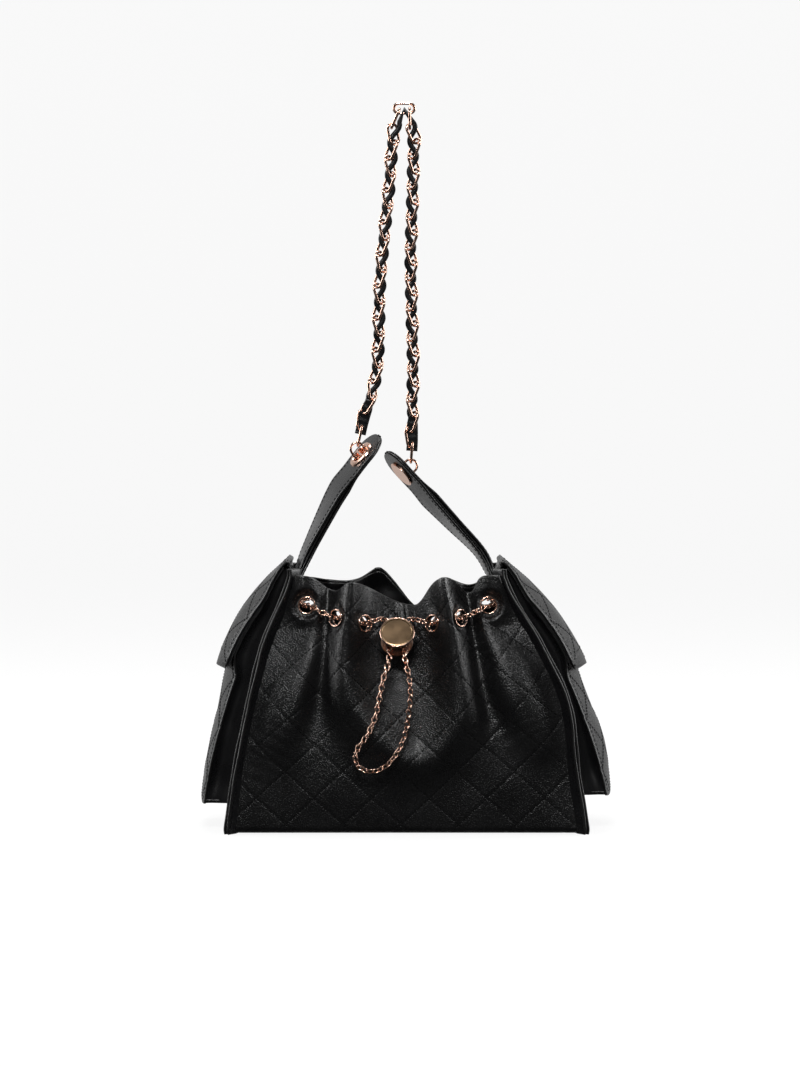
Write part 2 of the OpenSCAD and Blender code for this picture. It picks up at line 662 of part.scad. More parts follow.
disc_t = 3.4;
neck_t = 7.5;
flange_at = 15.5;
flange_t = 2.7;
hole_at = 11.5;
strand_hole = 5.2;
rivet_d = 2.6;
module on_toggle() {
  back = cross([1, 0, 0], strand_way);
  in_frame(toggle_place - back * hole_at, [1, 0, 0], back) children();
}
module toggle_disc() {
  color(gold) on_toggle() rotate_extrude() polygon([
    [0, 0.4], [disc_d/2 - 2.2, 0.4], [disc_d/2 - 1.8, 0], [disc_d/2 - 0.7, 0.2],
    [disc_d/2, 1.1], [disc_d/2, disc_t - 0.8], [disc_d/2 - 0.8, disc_t], [rivet_d/2, disc_t],
    [rivet_d/2, 1.6], [0, 1.6]]);
}
module toggle_barrel() {
  color(gold) on_toggle() difference() {
    union() {
      translate([0, 0, disc_t]) cylinder(h = neck_t - disc_t, d = barrel_d - 6);
      translate([0, 0, neck_t]) cylinder(h = flange_at - neck_t, d = barrel_d);
    }
    translate([0, 0, disc_t - 1]) cylinder(h = flange_at, d = rivet_d + 0.1);
    for (x = [-1, 1]) translate([x * hole_gap/2, 0, hole_at]) rotate([90, 0, 0])
      cylinder(h = barrel_d + 2, d = strand_hole, center = true);
  }
}
module toggle_flange() {
  color(gold) on_toggle() translate([0, 0, flange_at]) difference() {
    union() {
      cylinder(h = flange_t, d = disc_d - 3);
      translate([0, 0, 0.6]) cylinder(h = flange_t - 1.2, d = disc_d - 1.8);
    }
    translate([0, 0, -1]) cylinder(h = flange_t + 2, d = rivet_d + 0.1);
  }
}
module toggle_rivet() {
  color("silver") on_toggle() {
    translate([0, 0, 1.6]) cylinder(h = flange_at + flange_t - 1.6, d = rivet_d);
    translate([0, 0, flange_at + flange_t]) cylinder(h = 0.8, d = rivet_d + 2);
  }
}

front_panel();
back_panel();
left_side_panel();
right_side_panel();
base_panel();
base_board();
lining();
front_facing();
back_facing();
front_left_seam();
front_right_seam();
back_left_seam();
back_right_seam();
front_eyelets();
back_eyelets();
left_pocket_face();
right_pocket_face();
left_pocket_gusset();
right_pocket_gusset();
left_snap_socket();
right_snap_socket();
left_flap_base();
right_flap_base();
left_flap();
left_flap_lining();
left_snap_stud();
right_flap();
right_flap_lining();
right_snap_stud();
left_arm_outer();
left_arm_inner();
right_arm_outer();
right_arm_inner();
left_arm_eyelet();
right_arm_eyelet();
left_arm_bar();
right_arm_bar();
left_arm_cap();
right_arm_cap();
left_end_ring();
right_end_ring();
left_chain_links();
right_chain_links();
top_chain_link();
shoulder_lace();
left_lace_end();
right_lace_end();
drawstring_loop();
drawstring_left();
drawstring_right();
drawstring_back();
toggle_disc();
toggle_barrel();
toggle_flange();
toggle_rivet();
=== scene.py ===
import math

import bpy
import numpy as np
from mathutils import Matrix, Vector


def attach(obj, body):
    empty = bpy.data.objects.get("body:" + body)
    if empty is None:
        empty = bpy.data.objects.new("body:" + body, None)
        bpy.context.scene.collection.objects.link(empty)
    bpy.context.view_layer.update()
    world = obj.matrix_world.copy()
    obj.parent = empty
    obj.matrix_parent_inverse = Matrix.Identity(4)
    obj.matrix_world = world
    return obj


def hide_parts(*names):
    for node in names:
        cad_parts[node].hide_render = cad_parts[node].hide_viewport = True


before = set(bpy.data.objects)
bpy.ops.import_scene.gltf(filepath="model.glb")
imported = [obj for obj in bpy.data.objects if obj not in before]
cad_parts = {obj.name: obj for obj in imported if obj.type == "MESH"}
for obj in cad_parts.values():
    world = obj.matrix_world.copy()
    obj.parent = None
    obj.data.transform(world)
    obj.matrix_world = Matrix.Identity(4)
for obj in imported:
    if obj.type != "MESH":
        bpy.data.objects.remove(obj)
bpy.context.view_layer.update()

# Shapes are worked out in millimetres, as in the CAD model, and become metres in a mesh.
MM = 0.001
LEFT, RIGHT = -1, 1
FRONT, BACK = -1, 1
SIDE_NAMES = {LEFT: "left", RIGHT: "right"}
FACE_NAMES = {FRONT: "front", BACK: "back"}

# ---- Driving sizes of the bag, the same as the CAD model's ----

BASE_W, BASE_D = 290, 136
RIM_H, MOUTH_W, MOUTH_D = 214, 184, 92
LEAN, BELLY, SIDE_BULGE, SIDE_TUCK = 9, 9, 12, 11
LEATHER_T, FACING_T = 2.4, 1.4
POCKET_W, POCKET_BASE, POCKET_TOP, POCKET_REACH = 92, 24, 203, 170
FLAP_W, FLAP_SAG, FLAP_ROOT, FLAP_TIP = 98, 8.5, (91.5, 226), (157, 138)
ARM_W, ARM_FOOT_W, ARM_T, ARM_SPREAD = 36, 72, 2.1, 1.7
STRAP_T = 2 * ARM_T + 0.1
TWIST = {LEFT: 20, RIGHT: 17}
ARM_LINE = {
    LEFT: [(-99, 194), (-92, 213), (-84, 232), (-73, 255), (-58, 284), (-42, 307), (-23, 330)],
    RIGHT: [(81, 194), (72, 213), (62, 232), (40, 255), (18, 278), (-1, 298), (-17, 316)],
}
HARDWARE_BACK = 22
LEG_LINE = {
    LEFT: [(-37, 341), (-31, 362), (-26, 383), (-24, 410), (-23, 456), (-19, 503), (-15, 541),
           (-12, 580), (-8.2, 598)],
    RIGHT: [(5, 326), (5, 350), (6, 388), (5, 430), (4, 481), (5, 515), (6, 552), (6.5, 580),
            (3.8, 598)],
}
TOP_LINK = (-2, 606.5)
LINK_L, LINK_WIRE, RING_WIRE, LINK_PITCH = 19.8, 2.4, 2, 12.9
RING_WAY = {LEFT: (-0.5, 0, 0.87), RIGHT: (0.75, 0, 0.66)}
RING_L, RING_W, RING_BACK = 14, 11, 3.7
EYELET_PLACES = [(28, 175), (52, 179.5), (76, 189.5)]
MOUTH_MID_X = -6.75

# Drawstring: from the left inner eyelet through the toggle, round the hanging loop and back
LOOP_ROUTE = [
    (-40, -54, 174.5), (-34.5, -60, 175), (-30, -63.5, 176.5), (-22.5, -61.5, 178.5),
    (-17, -58, 177.5), (-14.5, -60.8, 172.1), (-14.5, -68, 162.5), (-14.5, -74.6, 153.7),
    (-14.5, -79.4, 147.3), (-16, -82.5, 140), (-19, -83, 131), (-21, -83, 122),
    (-23, -83, 112), (-25, -83, 102), (-28.5, -83, 92), (-33, -83, 83), (-39, -83, 75),
    (-42.5, -83, 66), (-40, -83, 58), (-32, -83, 54), (-23, -83, 55), (-15, -83, 60),
    (-8, -83, 69), (-3, -83, 79), (0, -83, 90), (1.5, -83, 101), (3, -83, 112),
    (3, -83, 122), (2, -83, 131), (0, -82.5, 140), (-1.5, -79.4, 147.3),
    (-1.5, -74.6, 153.7), (-1.5, -68, 162.5), (-1.5, -60.8, 172.1), (1, -58, 177.5),
    (7, -61.5, 178.5), (15, -63.5, 176.5), (21, -60, 175), (26.5, -54, 174.5)]
# Round the left of the mouth, from the front's inner eyelet to the back's
LEFT_ROUTE = [
    (-40, -54, 174.5), (-47, -52, 176.5), (-54, -54, 178.5), (-59, -59, 179.5),
    (-63, -61.5, 181), (-70, -60, 184), (-78, -56.5, 188), (-83, -51, 189.5),
    (-86, -42, 189), (-90, -28, 189), (-91, -10, 189), (-91, 10, 189), (-90, 28, 189),
    (-86, 42, 189), (-83, 51, 189.5), (-78, 56.5, 188), (-70, 60, 184), (-63, 61.5, 181),
    (-59, 59, 179.5), (-54, 54, 178.5), (-47, 52, 176.5), (-40, 54, 174.5)]
RIGHT_ROUTE = [(2 * MOUTH_MID_X - x, y, z) for x, y, z in LEFT_ROUTE]
# Across the middle of the back, outside it
BACK_ROUTE = [
    (-40, 54, 174.5), (-34.5, 60, 175), (-30, 63.5, 176), (-20, 60.5, 176.5),
    (-7, 57, 177), (6, 60.5, 176.5), (16, 63.5, 176), (21, 60, 175), (26.5, 54, 174.5)]


# ---- Small helpers ----

def bell(x, centre, radius):
    return np.exp(-((x - centre) / radius) ** 2)


def step(x, low, high):
    """0 below low, 1 above high, and smooth between."""
    t = np.clip((x - low) / (high - low), 0, 1)
    return t * t * (3 - 2 * t)


def unit(v):
    v = np.asarray(v, float)
    return v / np.linalg.norm(v, axis=-1, keepdims=True)


def smooth(points, steps):
    """A smooth curve through the points, with so many steps between each two."""
    p = np.asarray(points, float)
    out = []
    for i in range(len(p) - 1):
        a, b, c, d = p[max(i - 1, 0)], p[i], p[i + 1], p[min(i + 2, len(p) - 1)]
        for t in np.arange(steps) / steps:
            out.append((2 * b + (c - a) * t + (2 * a - 5 * b + 4 * c - d) * t ** 2
                        + (3 * b - a - 3 * c + d) * t ** 3) / 2)
    return np.array(out + [p[-1]])


class Line:
    """A polyline that is read by the distance along it."""

    def __init__(self, points):
        self.p = np.asarray(points, float)
        self.d = np.append(0, np.cumsum(np.linalg.norm(np.diff(self.p, axis=0), axis=1)))
        self.length = self.d[-1]

    def at(self, d):
        i = int(np.clip(np.searchsorted(self.d, d, "right") - 1, 0, len(self.p) - 2))
        t = (d - self.d[i]) / (self.d[i + 1] - self.d[i])
        return self.p[i] * (1 - t) + self.p[i + 1] * t

    def way(self, d):
        return unit(self.at(d + 2) - self.at(d - 2))


# ---- Meshes ----

def add_piece(name, points, faces, body, materials, flags=None):
    """A smooth-shaded mesh from points in millimetres, riding on a body."""
    mesh = bpy.data.meshes.new(name)
    mesh.from_pydata((np.asarray(points) * MM).tolist(), [], [list(map(int, f)) for f in faces])
    mesh.polygons.foreach_set("use_smooth", [True] * len(mesh.polygons))
    if flags is not None:
        mesh.polygons.foreach_set("material_index", np.asarray(flags, int).tolist())
    for m in materials:
        mesh.materials.append(m)
    mesh.validate()
    mesh.update()
    obj = bpy.data.objects.new(name, mesh)
    bpy.context.scene.collection.objects.link(obj)
    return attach(obj, body)


def grid_normals(grid):
    return unit(np.cross(np.gradient(grid, axis=0), np.gradient(grid, axis=1)))


def turned_out(grid, way):
    """The grid with its normals on the side of the given way."""
    middle = grid_normals(grid)[grid.shape[0] // 2, grid.shape[1] // 2]
    return grid[::-1] if np.dot(middle, way) < 0 else grid


def blur_rows(grid, times):
    for _ in range(times):
        grid[1:-1] = (grid[:-2] + 2 * grid[1:-1] + grid[2:]) / 4


def read_grid(values, i, j):
    """Value of a grid at fractional indices."""
    i = min(max(i, 0), values.shape[0] - 1.001)
    j = min(max(j, 0), values.shape[1] - 1.001)
    a, b = int(i), int(j)
    u, v = i - a, j - b
    return ((values[a, b] * (1 - u) + values[a + 1, b] * u) * (1 - v)
            + (values[a, b + 1] * (1 - u) + values[a + 1, b + 1] * u) * v)


class Skin:
    """The outer surface of a sheet, read by its flat coordinates: s across and t up."""

    def __init__(self, grid):
        self.p = grid
        self.n = grid_normals(grid)
        across = np.linalg.norm(np.diff(grid, axis=0), axis=2)
        self.s = np.vstack([np.zeros(grid.shape[1]), np.cumsum(across, axis=0)])
        self.s -= self.s[-1] / 2
        middle = grid[grid.shape[0] // 2]
        self.t = np.append(0, np.cumsum(np.linalg.norm(np.diff(middle, axis=0), axis=1)))

    def find(self, s, t):
        """Fractional indices of a flat place, or None outside the sheet."""
        if not self.t[0] <= t <= self.t[-1]:
            return None
        j = float(np.interp(t, self.t, np.arange(len(self.t))))
        column = self.s[:, int(round(j))]
        if not column[0] <= s <= column[-1]:
            return None
        return float(np.interp(s, column, np.arange(len(column)))), j

    def place(self, s, t):
        """Point and outward normal at a flat place, or None outside the sheet."""
        found = self.find(s, t)
        if found is None:
            return None
        return read_grid(self.p, *found), unit(read_grid(self.n, *found))


EDGE_ANGLES = (32, 60, 84)


def leather(name, outer, thick, body, material, holes=(), inner_blur=0):
    """A sheet with rounded edges under an outer surface, as a closed mesh in the material's slot.
    Leather has edge paint, cloth has none. Holes are (centre, axis, radius)."""
    normal = grid_normals(outer)
    mid = outer - normal * thick / 2
    half = np.full(mid.shape[:2], thick / 2)
    rim = np.zeros(mid.shape[:2], bool)
    for axis in (1, 0):
        for last in (False, True):
            pick = (lambda a, k: np.take(a, -1 - k if last else k, axis=axis))
            out = unit(pick(mid, 0) - pick(mid, 1))
            flat_half = pick(half, 0)
            reached = 0
            for angle in EDGE_ANGLES:
                a = math.radians(angle)
                row = pick(mid, 0) + out * thick / 2 * (math.sin(a) - reached)
                reached = math.sin(a)
                joined = []
                for whole, extra in ((mid, row), (normal, pick(normal, 0)),
                                     (rim, np.ones(len(row), bool)), (half, flat_half * math.cos(a))):
                    extra = np.expand_dims(extra, axis)
                    joined.append(np.concatenate([whole, extra] if last else [extra, whole], axis))
                mid, normal, rim, half = joined
    m, n = half.shape
    top, under = mid + normal * half[..., None], mid - normal * half[..., None]
    blur_rows(under, inner_blur)
    cell_mid = (mid[:-1, :-1] + mid[1:, 1:]) / 2
    gone = np.zeros((m - 1, n - 1), bool)
    for centre, way, radius in holes:
        rel = cell_mid - np.asarray(centre)
        depth = rel @ np.asarray(way)
        off = np.linalg.norm(rel - depth[..., None] * np.asarray(way), axis=2)
        gone |= (off < radius) & (abs(depth) < 3 * thick)
    q = m * n
    faces, flags = [], []
    for i in range(m - 1):
        for j in range(n - 1):
            if gone[i, j]:
                continue
            a, b, c, d = i * n + j, (i + 1) * n + j, (i + 1) * n + j + 1, i * n + j + 1
            edge = int(rim[i, j] or rim[i + 1, j + 1])
            faces += [(a, b, c, d), (q + a, q + d, q + c, q + b)]
            flags += [edge, edge]
            for (e, f), (k, l) in (((a, b), (i, j - 1)), ((b, c), (i + 1, j)),
                                   ((c, d), (i, j + 1)), ((d, a), (i - 1, j))):
                inside = 0 <= k < m - 1 and 0 <= l < n - 1
                if not inside or gone[k, l]:
                    faces.append((f, e, q + e, q + f))
                    flags.append(1)
    points = np.concatenate([top.reshape(-1, 3), under.reshape(-1, 3)])
    used = np.zeros(len(points), bool)
    used[np.array([v for f in faces for v in f])] = True
    new = np.cumsum(used) - 1
    faces = [[new[v] for v in f] for f in faces]
    if material is CLOTH:
        return add_piece(name, points[used], faces, body, [material])
    return add_piece(name, points[used], faces, body, [material, PAINT], flags=flags)


def tube(rings):
    """Points and faces of a closed solid through rings of points."""
    rings = np.asarray(rings, float)
    m, n = rings.shape[:2]
    faces = [(i * n + j, i * n + (j + 1) % n, (i + 1) * n + (j + 1) % n, (i + 1) * n + j)
             for i in range(m - 1) for j in range(n)]
    faces.append(list(range(n - 1, -1, -1)))
    faces.append(list(range((m - 1) * n, m * n)))
    return rings.reshape(-1, 3), faces


def closed_tube(rings):
    """Points and faces of a tube whose end meets its start."""
    rings = np.array(rings)
    m, n = rings.shape[:2]
    faces = [(i * n + j, (i + 1) % m * n + j, (i + 1) % m * n + (j + 1) % n, i * n + (j + 1) % n)
             for i in range(m) for j in range(n)]
    return rings.reshape(-1, 3), faces


def wire_ring(centre, normal, radius, wire, around=48, sides=8):
    """Points and faces of a round ring of wire."""
    a = unit(np.cross(normal, (0, 0, 1)))
    b = np.cross(normal, a)
    rings = []
    for angle in 2 * math.pi * np.arange(around) / around:
        way = math.cos(angle) * a + math.sin(angle) * b
        rings.append([centre + way * (radius + wire / 2 * math.cos(t)) + normal * wire / 2 * math.sin(t)
                      for t in 2 * math.pi * np.arange(sides) / sides])
    return closed_tube(rings)


def oval_link(centre, along, face, length, width, wire, steps=10, sides=8):
    """Points and faces of an oval ring of round wire. Sizes are over the wire."""
    across = np.cross(face, along)
    r, run = (width - wire) / 2, (length - width) / 2
    rings = []
    for end in (1, -1):
        for k in range(steps):
            a = math.radians(-90 + 180 * (k + 0.5) / steps)
            out = (math.cos(a) * along + math.sin(a) * across) * end
            middle = centre + along * run * end + out * r
            turn = 2 * math.pi * np.arange(sides) / sides
            rings.append([middle + wire / 2 * (math.cos(t) * out + math.sin(t) * face)
                          for t in turn])
    return closed_tube(rings)


class Heap:
    """Collects small closed solids into one piece."""

    def __init__(self):
        self.points, self.faces, self.count = [], [], 0

    def add(self, points, faces):
        self.points.append(points)
        self.faces += [[v + self.count for v in f] for f in faces]
        self.count += len(points)

    def piece(self, name, body, material, slot=None):
        return add_piece(name, np.concatenate(self.points), self.faces, body, [material])


THREAD = 0.3
TURN_6 = 2 * math.pi * np.arange(6) / 6
# Share of a stitch's length, and its fatness and lift there in thread radii
STITCH_FORM = [(0, 0.35, -0.9), (0.16, 0.85, 0.1), (0.5, 1, 0.45), (0.84, 0.85, 0.1), (1, 0.35, -0.9)]


def sew(heap, skin, path, pitch=3.6, length=2.7, thread=THREAD, margin=0):
    """Stitches along a line of flat places on a skin."""
    line = Line(path)
    for k in range(int(line.length / pitch)):
        a = k * pitch + (pitch - length) / 2
        places = [skin.place(*line.at(a + length * share)) for share, _, _ in STITCH_FORM]
        ends = [skin.place(*line.at(d)) for d in (a - margin, a + length + margin)]
        if any(p is None for p in places + ends):
            continue
        tangent = unit(ends[1][0] - ends[0][0])
        rings = []
        for (_, fat, lift), (point, normal) in zip(STITCH_FORM, places):
            side = unit(np.cross(normal, tangent))
            rings.append([point + normal * lift * thread
                          + thread * fat * (math.cos(t) * side + math.sin(t) * normal)
                          for t in TURN_6])
        heap.add(*tube(rings))


def edge_path(skin, inset, low, top, sign):
    """Line of flat places along one side of a sheet."""
    return [(sign * (-np.interp(t, skin.t, skin.s[0]) - inset), t) for t in np.linspace(low, top, 40)]


# ---- Quilting: two families of slanting lines in a sheet's flat coordinates ----

class Quilt:
    def __init__(self, wide, high, s0, t0, groove=0.34, puff=0.04):
        self.wide, self.high, self.s0, self.t0 = wide, high, s0, t0
        self.groove, self.puff = groove, puff

    def height(self, s, t):
        """How far the quilted leather stands out from its plain surface."""
        scale = math.hypot(1 / self.wide, 1 / self.high)
        near = np.inf
        for sign in (1, -1):
            a = (s - self.s0) / self.wide + sign * (t - self.t0) / self.high
            near = np.minimum(near, abs(a - np.round(a)) / scale)
        return (-self.groove * np.exp(-near ** 2)
                + self.puff * (1 - np.exp(-(near / 9) ** 2)))

    def stitch(self, heap, skin, s_reach, t_low, t_high):
        for sign in (1, -1):
            most = int(s_reach / self.wide + (t_high - t_low) / self.high) + 3
            for k in range(-most, most):
                t = np.array([t_low, t_high])
                s = self.s0 + self.wide * (k - sign * (t - self.t0) / self.high)
                sew(heap, skin, list(zip(s, t)), length=3.1, thread=0.42, margin=1.5)


# ---- Shape of the bag, the same functions as the CAD model's ----

def mid_x(z):
    return -LEAN * np.clip(np.asarray(z, float) / RIM_H, 0, None) ** 1.5


def half_w(z):
    return BASE_W / 2 - (BASE_W - MOUTH_W) / 2 * (np.clip(z, 0, RIM_H) / RIM_H) ** 1.35


def slouch(side, z):
    """How far the soft corners of one side lie out from the CAD model's, pulled in at the mouth."""
    if side == LEFT:
        return -8.5 * step(z, 150, 212)
    return 10 * bell(z, 112, 44) - 6.5 * step(z, 160, 205)


def spread_x(w, z):
    """Place from the middle at a share w of the width, from -1 at the left to 1 at the right."""
    return w * half_w(z) + np.where(w > 0, slouch(RIGHT, z), -slouch(LEFT, z)) * w * w


def half_d(z):
    return BASE_D / 2 - (BASE_D - MOUTH_D) / 2 * (np.clip(z, 0, RIM_H) / RIM_H) ** 1.2


def bulge(z):
    return np.sin(np.pi * np.clip(z / RIM_H, 0, 1))


def gather(z):
    return np.clip((z - 70) / (RIM_H - 70), 0, None) ** 1.2


def cad_front_out(x, z):
    """How far the CAD front lies out at x from the middle."""
    return (half_d(z) + BELLY * bulge(z) * (1 - (x / half_w(z)) ** 2)
            + gather(z) * (20 * (bell(x, 40, 12) + bell(x, -40, 12)) - 7 * bell(x, 0, 18)))


def eyelet_frame(face, side, place):
    """Centre and outward normal of a rim eyelet."""
    x, z = side * place[0], place[1]
    dx = (cad_front_out(x + 1, z) - cad_front_out(x - 1, z)) / 2
    dz = (cad_front_out(x, z + 1) - cad_front_out(x, z - 1)) / 2
    centre = np.array([x + mid_x(z), face * cad_front_out(x, z), z])
    return centre, unit([-dx, face, -dz])


def eyelet_frames(face):
    return [eyelet_frame(face, side, place) for side in (LEFT, RIGHT) for place in EYELET_PLACES]


# Folds of the gathered leather, as paths of x from the middle, height z, how far out and radius.
# On the front two folds run down from the rim and meet in a hanging pouch.
POUCH_FOLD = [
    (-37, 226, 23, 10), (-37.5, 209, 22, 11), (-43, 179, 17, 14), (-49, 146, 12, 16),
    (-46, 118, 10, 17), (-36, 97, 9, 17), (-21, 79, 8, 17), (-4, 65, 7, 16), (11, 60, 7, 16),
    (27, 67, 8, 16), (44, 92, 9, 17), (49, 117, 10, 17), (47, 146, 13, 15), (44, 179, 18, 12),
    (39.5, 206, 22, 10), (38.5, 226, 23, 10)]
FRONT_FOLDS = [
    POUCH_FOLD,
    [(-76, 226, 9, 13), (-78, 196, 7, 14), (-66, 172, 4, 12), (-75, 144, 7, 15), (-88, 120, 8, 19),
     (-100, 93, 7, 21), (-116, 63, 4, 21), (-127, 34, 1, 20)],
    [(86, 226, 10, 13), (80, 190, 6, 13), (72, 170, 5, 12), (85, 144, 9, 17), (94, 118, 11, 21),
     (103, 96, 10, 22), (112, 78, 6, 18)]]
FRONT_VALLEYS = [
    [(-57, 226, 9, 8), (-57, 190, 9, 8), (-61, 153, 7, 9), (-68, 123, 5, 10), (-76, 93, 3, 11),
     (-84, 70, 0, 11)],
    [(58, 226, 9, 8), (58, 186, 9, 8), (62, 153, 8, 9), (66, 123, 6, 10), (77, 98, 4, 11),
     (90, 74, 0, 11)],
    [(4, 226, 12, 19), (2, 180, 9, 17), (1, 140, 5, 16), (2, 112, 0, 16)]]
BACK_FOLDS = [
    [(-40, 226, 22, 11), (-43, 180, 17, 15), (-52, 140, 11, 19), (-66, 95, 5, 24), (-74, 60, 0, 24)],
    [(40, 226, 22, 11), (44, 180, 17, 15), (55, 140, 11, 19), (70, 95, 5, 24), (78, 60, 0, 24)],
    [(-80, 226, 8, 14), (-86, 160, 5, 18), (-96, 110, 2, 20)],
    [(80, 226, 8, 14), (86, 160, 5, 18), (96, 110, 2, 20)]]
BACK_VALLEYS = [
    [(-60, 226, 8, 8), (-64, 160, 6, 11), (-80, 110, 2, 14)],
    [(59, 226, 8, 8), (64, 160, 6, 11), (80, 110, 2, 14)],
    [(-4, 226, 12, 19), (-4, 150, 5, 18), (-4, 110, 0, 18)]]


# How sharply two folds join where they meet
FOLD_MEET = 2.4


def fold_height(x, z, path):
    """How far a rounded fold along a path stands out at x and z."""
    points = smooth(path, 4)
    most = 0.0 * x * z
    for a, b in zip(points, points[1:]):
        run = b[:2] - a[:2]
        t = np.clip(((x - a[0]) * run[0] + (z - a[1]) * run[1]) / (run @ run), 0, 1)
        away = (x - a[0] - t * run[0]) ** 2 + (z - a[1] - t * run[1]) ** 2
        height, radius = a[2] + (b[2] - a[2]) * t, a[3] + (b[3] - a[3]) * t
        most = np.maximum(most, height * np.exp(-away / radius ** 2))
    return most


def soft_out(face, x, z):
    """The gathered, slouching leather: the CAD shape with the real folds."""
    out = half_d(z) + BELLY * bulge(z) * (1 - (x / half_w(z)) ** 2)
    if face == FRONT:
        folds, valleys = FRONT_FOLDS, FRONT_VALLEYS
    else:
        folds, valleys = BACK_FOLDS, BACK_VALLEYS
        out = out + 6 * bell(z, 60, 34) * bell(x, 0, 75) + 7 * step(z, 184, 204) * bell(x, -8, 11)
    out = out + sum(fold_height(x, z, path) ** FOLD_MEET for path in folds) ** (1 / FOLD_MEET)
    for path in valleys:
        out = out - fold_height(x, z, path)
    drift = 0.6 * np.sin(x / 13 + z / 31) + 0.5 * np.sin(x / 23 - z / 17 + face)
    pinch = bell(z, 179, 10) * (0.4 * bell(x, -3, 22) + 0.3 * bell(abs(x), 68, 10))
    crinkle = pinch * (np.sin(1.1 * x + 0.8 * np.sin(z / 7)) + 0.5 * np.sin(1.9 * x + z / 9))
    return out + drift * step(z, 10, 60) + crinkle


def lopsided(x, centre, left, right):
    """A bell with its own radius on each side."""
    return bell(x, centre, np.where(x < centre, left, right))


def rim_z(face, x):
    """Height of the wavy rim at x from the middle."""
    if face == FRONT:
        return (RIM_H - 25 * lopsided(x, 12, 36, 15) - 12 * lopsided(x, -50, 14, 8)
                - 15 * lopsided(x, 57, 8, 9))
    return (207 - 4 * bell(x, -42, 16) + 9 * bell(x, -15, 11) - 25 * bell(x, 15, 13)
            - 6 * bell(x, 60, 14) + 4 * bell(x, 86, 14))


def settle_on_eyelets(face, points):
    """Leather lies flat under each rim eyelet."""
    for centre, normal in eyelet_frames(face):
        rel = points - centre
        depth = rel @ normal
        off = np.linalg.norm(rel - depth[..., None] * normal, axis=-1)
        near = (1 - step(off, 8, 14)) * (abs(depth) < 12)
        points = points - (near * (depth + 0.15))[..., None] * normal
    return points


PANEL_COLUMNS, PANEL_ROWS = 300, 212
PANEL_LOW = 0.8
FOOT_R = 6
# No quilting stitch lies nearer than this to an eyelet's centre
NO_STITCH_R = 8.5


class PanelSkin(Skin):
    """Skin of the front or back, whose s runs level and whose t is the height."""

    def __init__(self, face):
        self.face, self.eyelets = face, eyelet_frames(face)
        self.zs = np.arange(0, RIM_H + 4, 2.0)
        self.us = np.linspace(-1, 1, 400)
        x = spread_x(self.us[None, :], self.zs[:, None])
        out = soft_out(face, x, self.zs[:, None])
        run = np.hypot(np.diff(x, axis=1), np.diff(out, axis=1))
        self.table = np.hstack([np.zeros((len(self.zs), 1)), np.cumsum(run, axis=1)])
        self.table -= self.table[:, [200]]
        u = np.linspace(-1, 1, PANEL_COLUMNS + 1)[:, None]
        w = -face * u
        self.top = rim_z(face, spread_x(w, RIM_H))
        share = np.linspace(0, 1, PANEL_ROWS + 1)[None, :]
        z = PANEL_LOW + (self.top - PANEL_LOW) * share
        x = spread_x(w, z)
        self.s = self.flat_s(u + 0 * z, z)
        quilt = QUILTS[face].height(self.s, z)
        calm = 1 - 0.8 * step(z, self.top - 16, self.top - 4)
        foot = np.clip((FOOT_R - z) / FOOT_R, 0, 1)
        tuck = FOOT_R * (1 - np.sqrt(1 - foot ** 2))
        out = soft_out(face, x, z) + quilt * calm - tuck
        grid = np.stack([x + mid_x(z), face * out, z], axis=-1)
        self.p = settle_on_eyelets(face, grid)
        self.n = grid_normals(self.p)

    def flat_s(self, u, z):
        """Distance across the leather from the middle."""
        row = np.clip(z / 2, 0, len(self.zs) - 1.001)
        k = row.astype(int)
        column = np.clip((-self.face * u + 1) / 2 * 399, 0, 398.999)
        c = column.astype(int)
        f, g = row - k, column - c
        t = self.table
        a = t[k, c] * (1 - g) + t[k, c + 1] * g
        b = t[k + 1, c] * (1 - g) + t[k + 1, c + 1] * g
        return a * (1 - f) + b * f

    def find(self, s, t):
        k = int(np.clip(round(t / 2), 0, len(self.zs) - 1))
        row = self.table[k]
        if not row[0] + 5 <= s <= row[-1] - 5 or t < 4:
            return None
        u = -self.face * float(np.interp(s, row, self.us))
        i = (u + 1) / 2 * PANEL_COLUMNS
        top = float(np.interp(i, np.arange(PANEL_COLUMNS + 1), self.top[:, 0]))
        if t > top - 5:
            return None
        j = (t - PANEL_LOW) / (top - PANEL_LOW) * PANEL_ROWS
        point = read_grid(self.p, i, j)
        if any(np.linalg.norm(point - centre) < NO_STITCH_R for centre, _ in self.eyelets):
            return None
        return i, j


QUILTS = {
    FRONT: Quilt(48, 44, -29, 30),
    BACK: Quilt(48, 45, 20, 24.5),
}


# ---- Materials ----

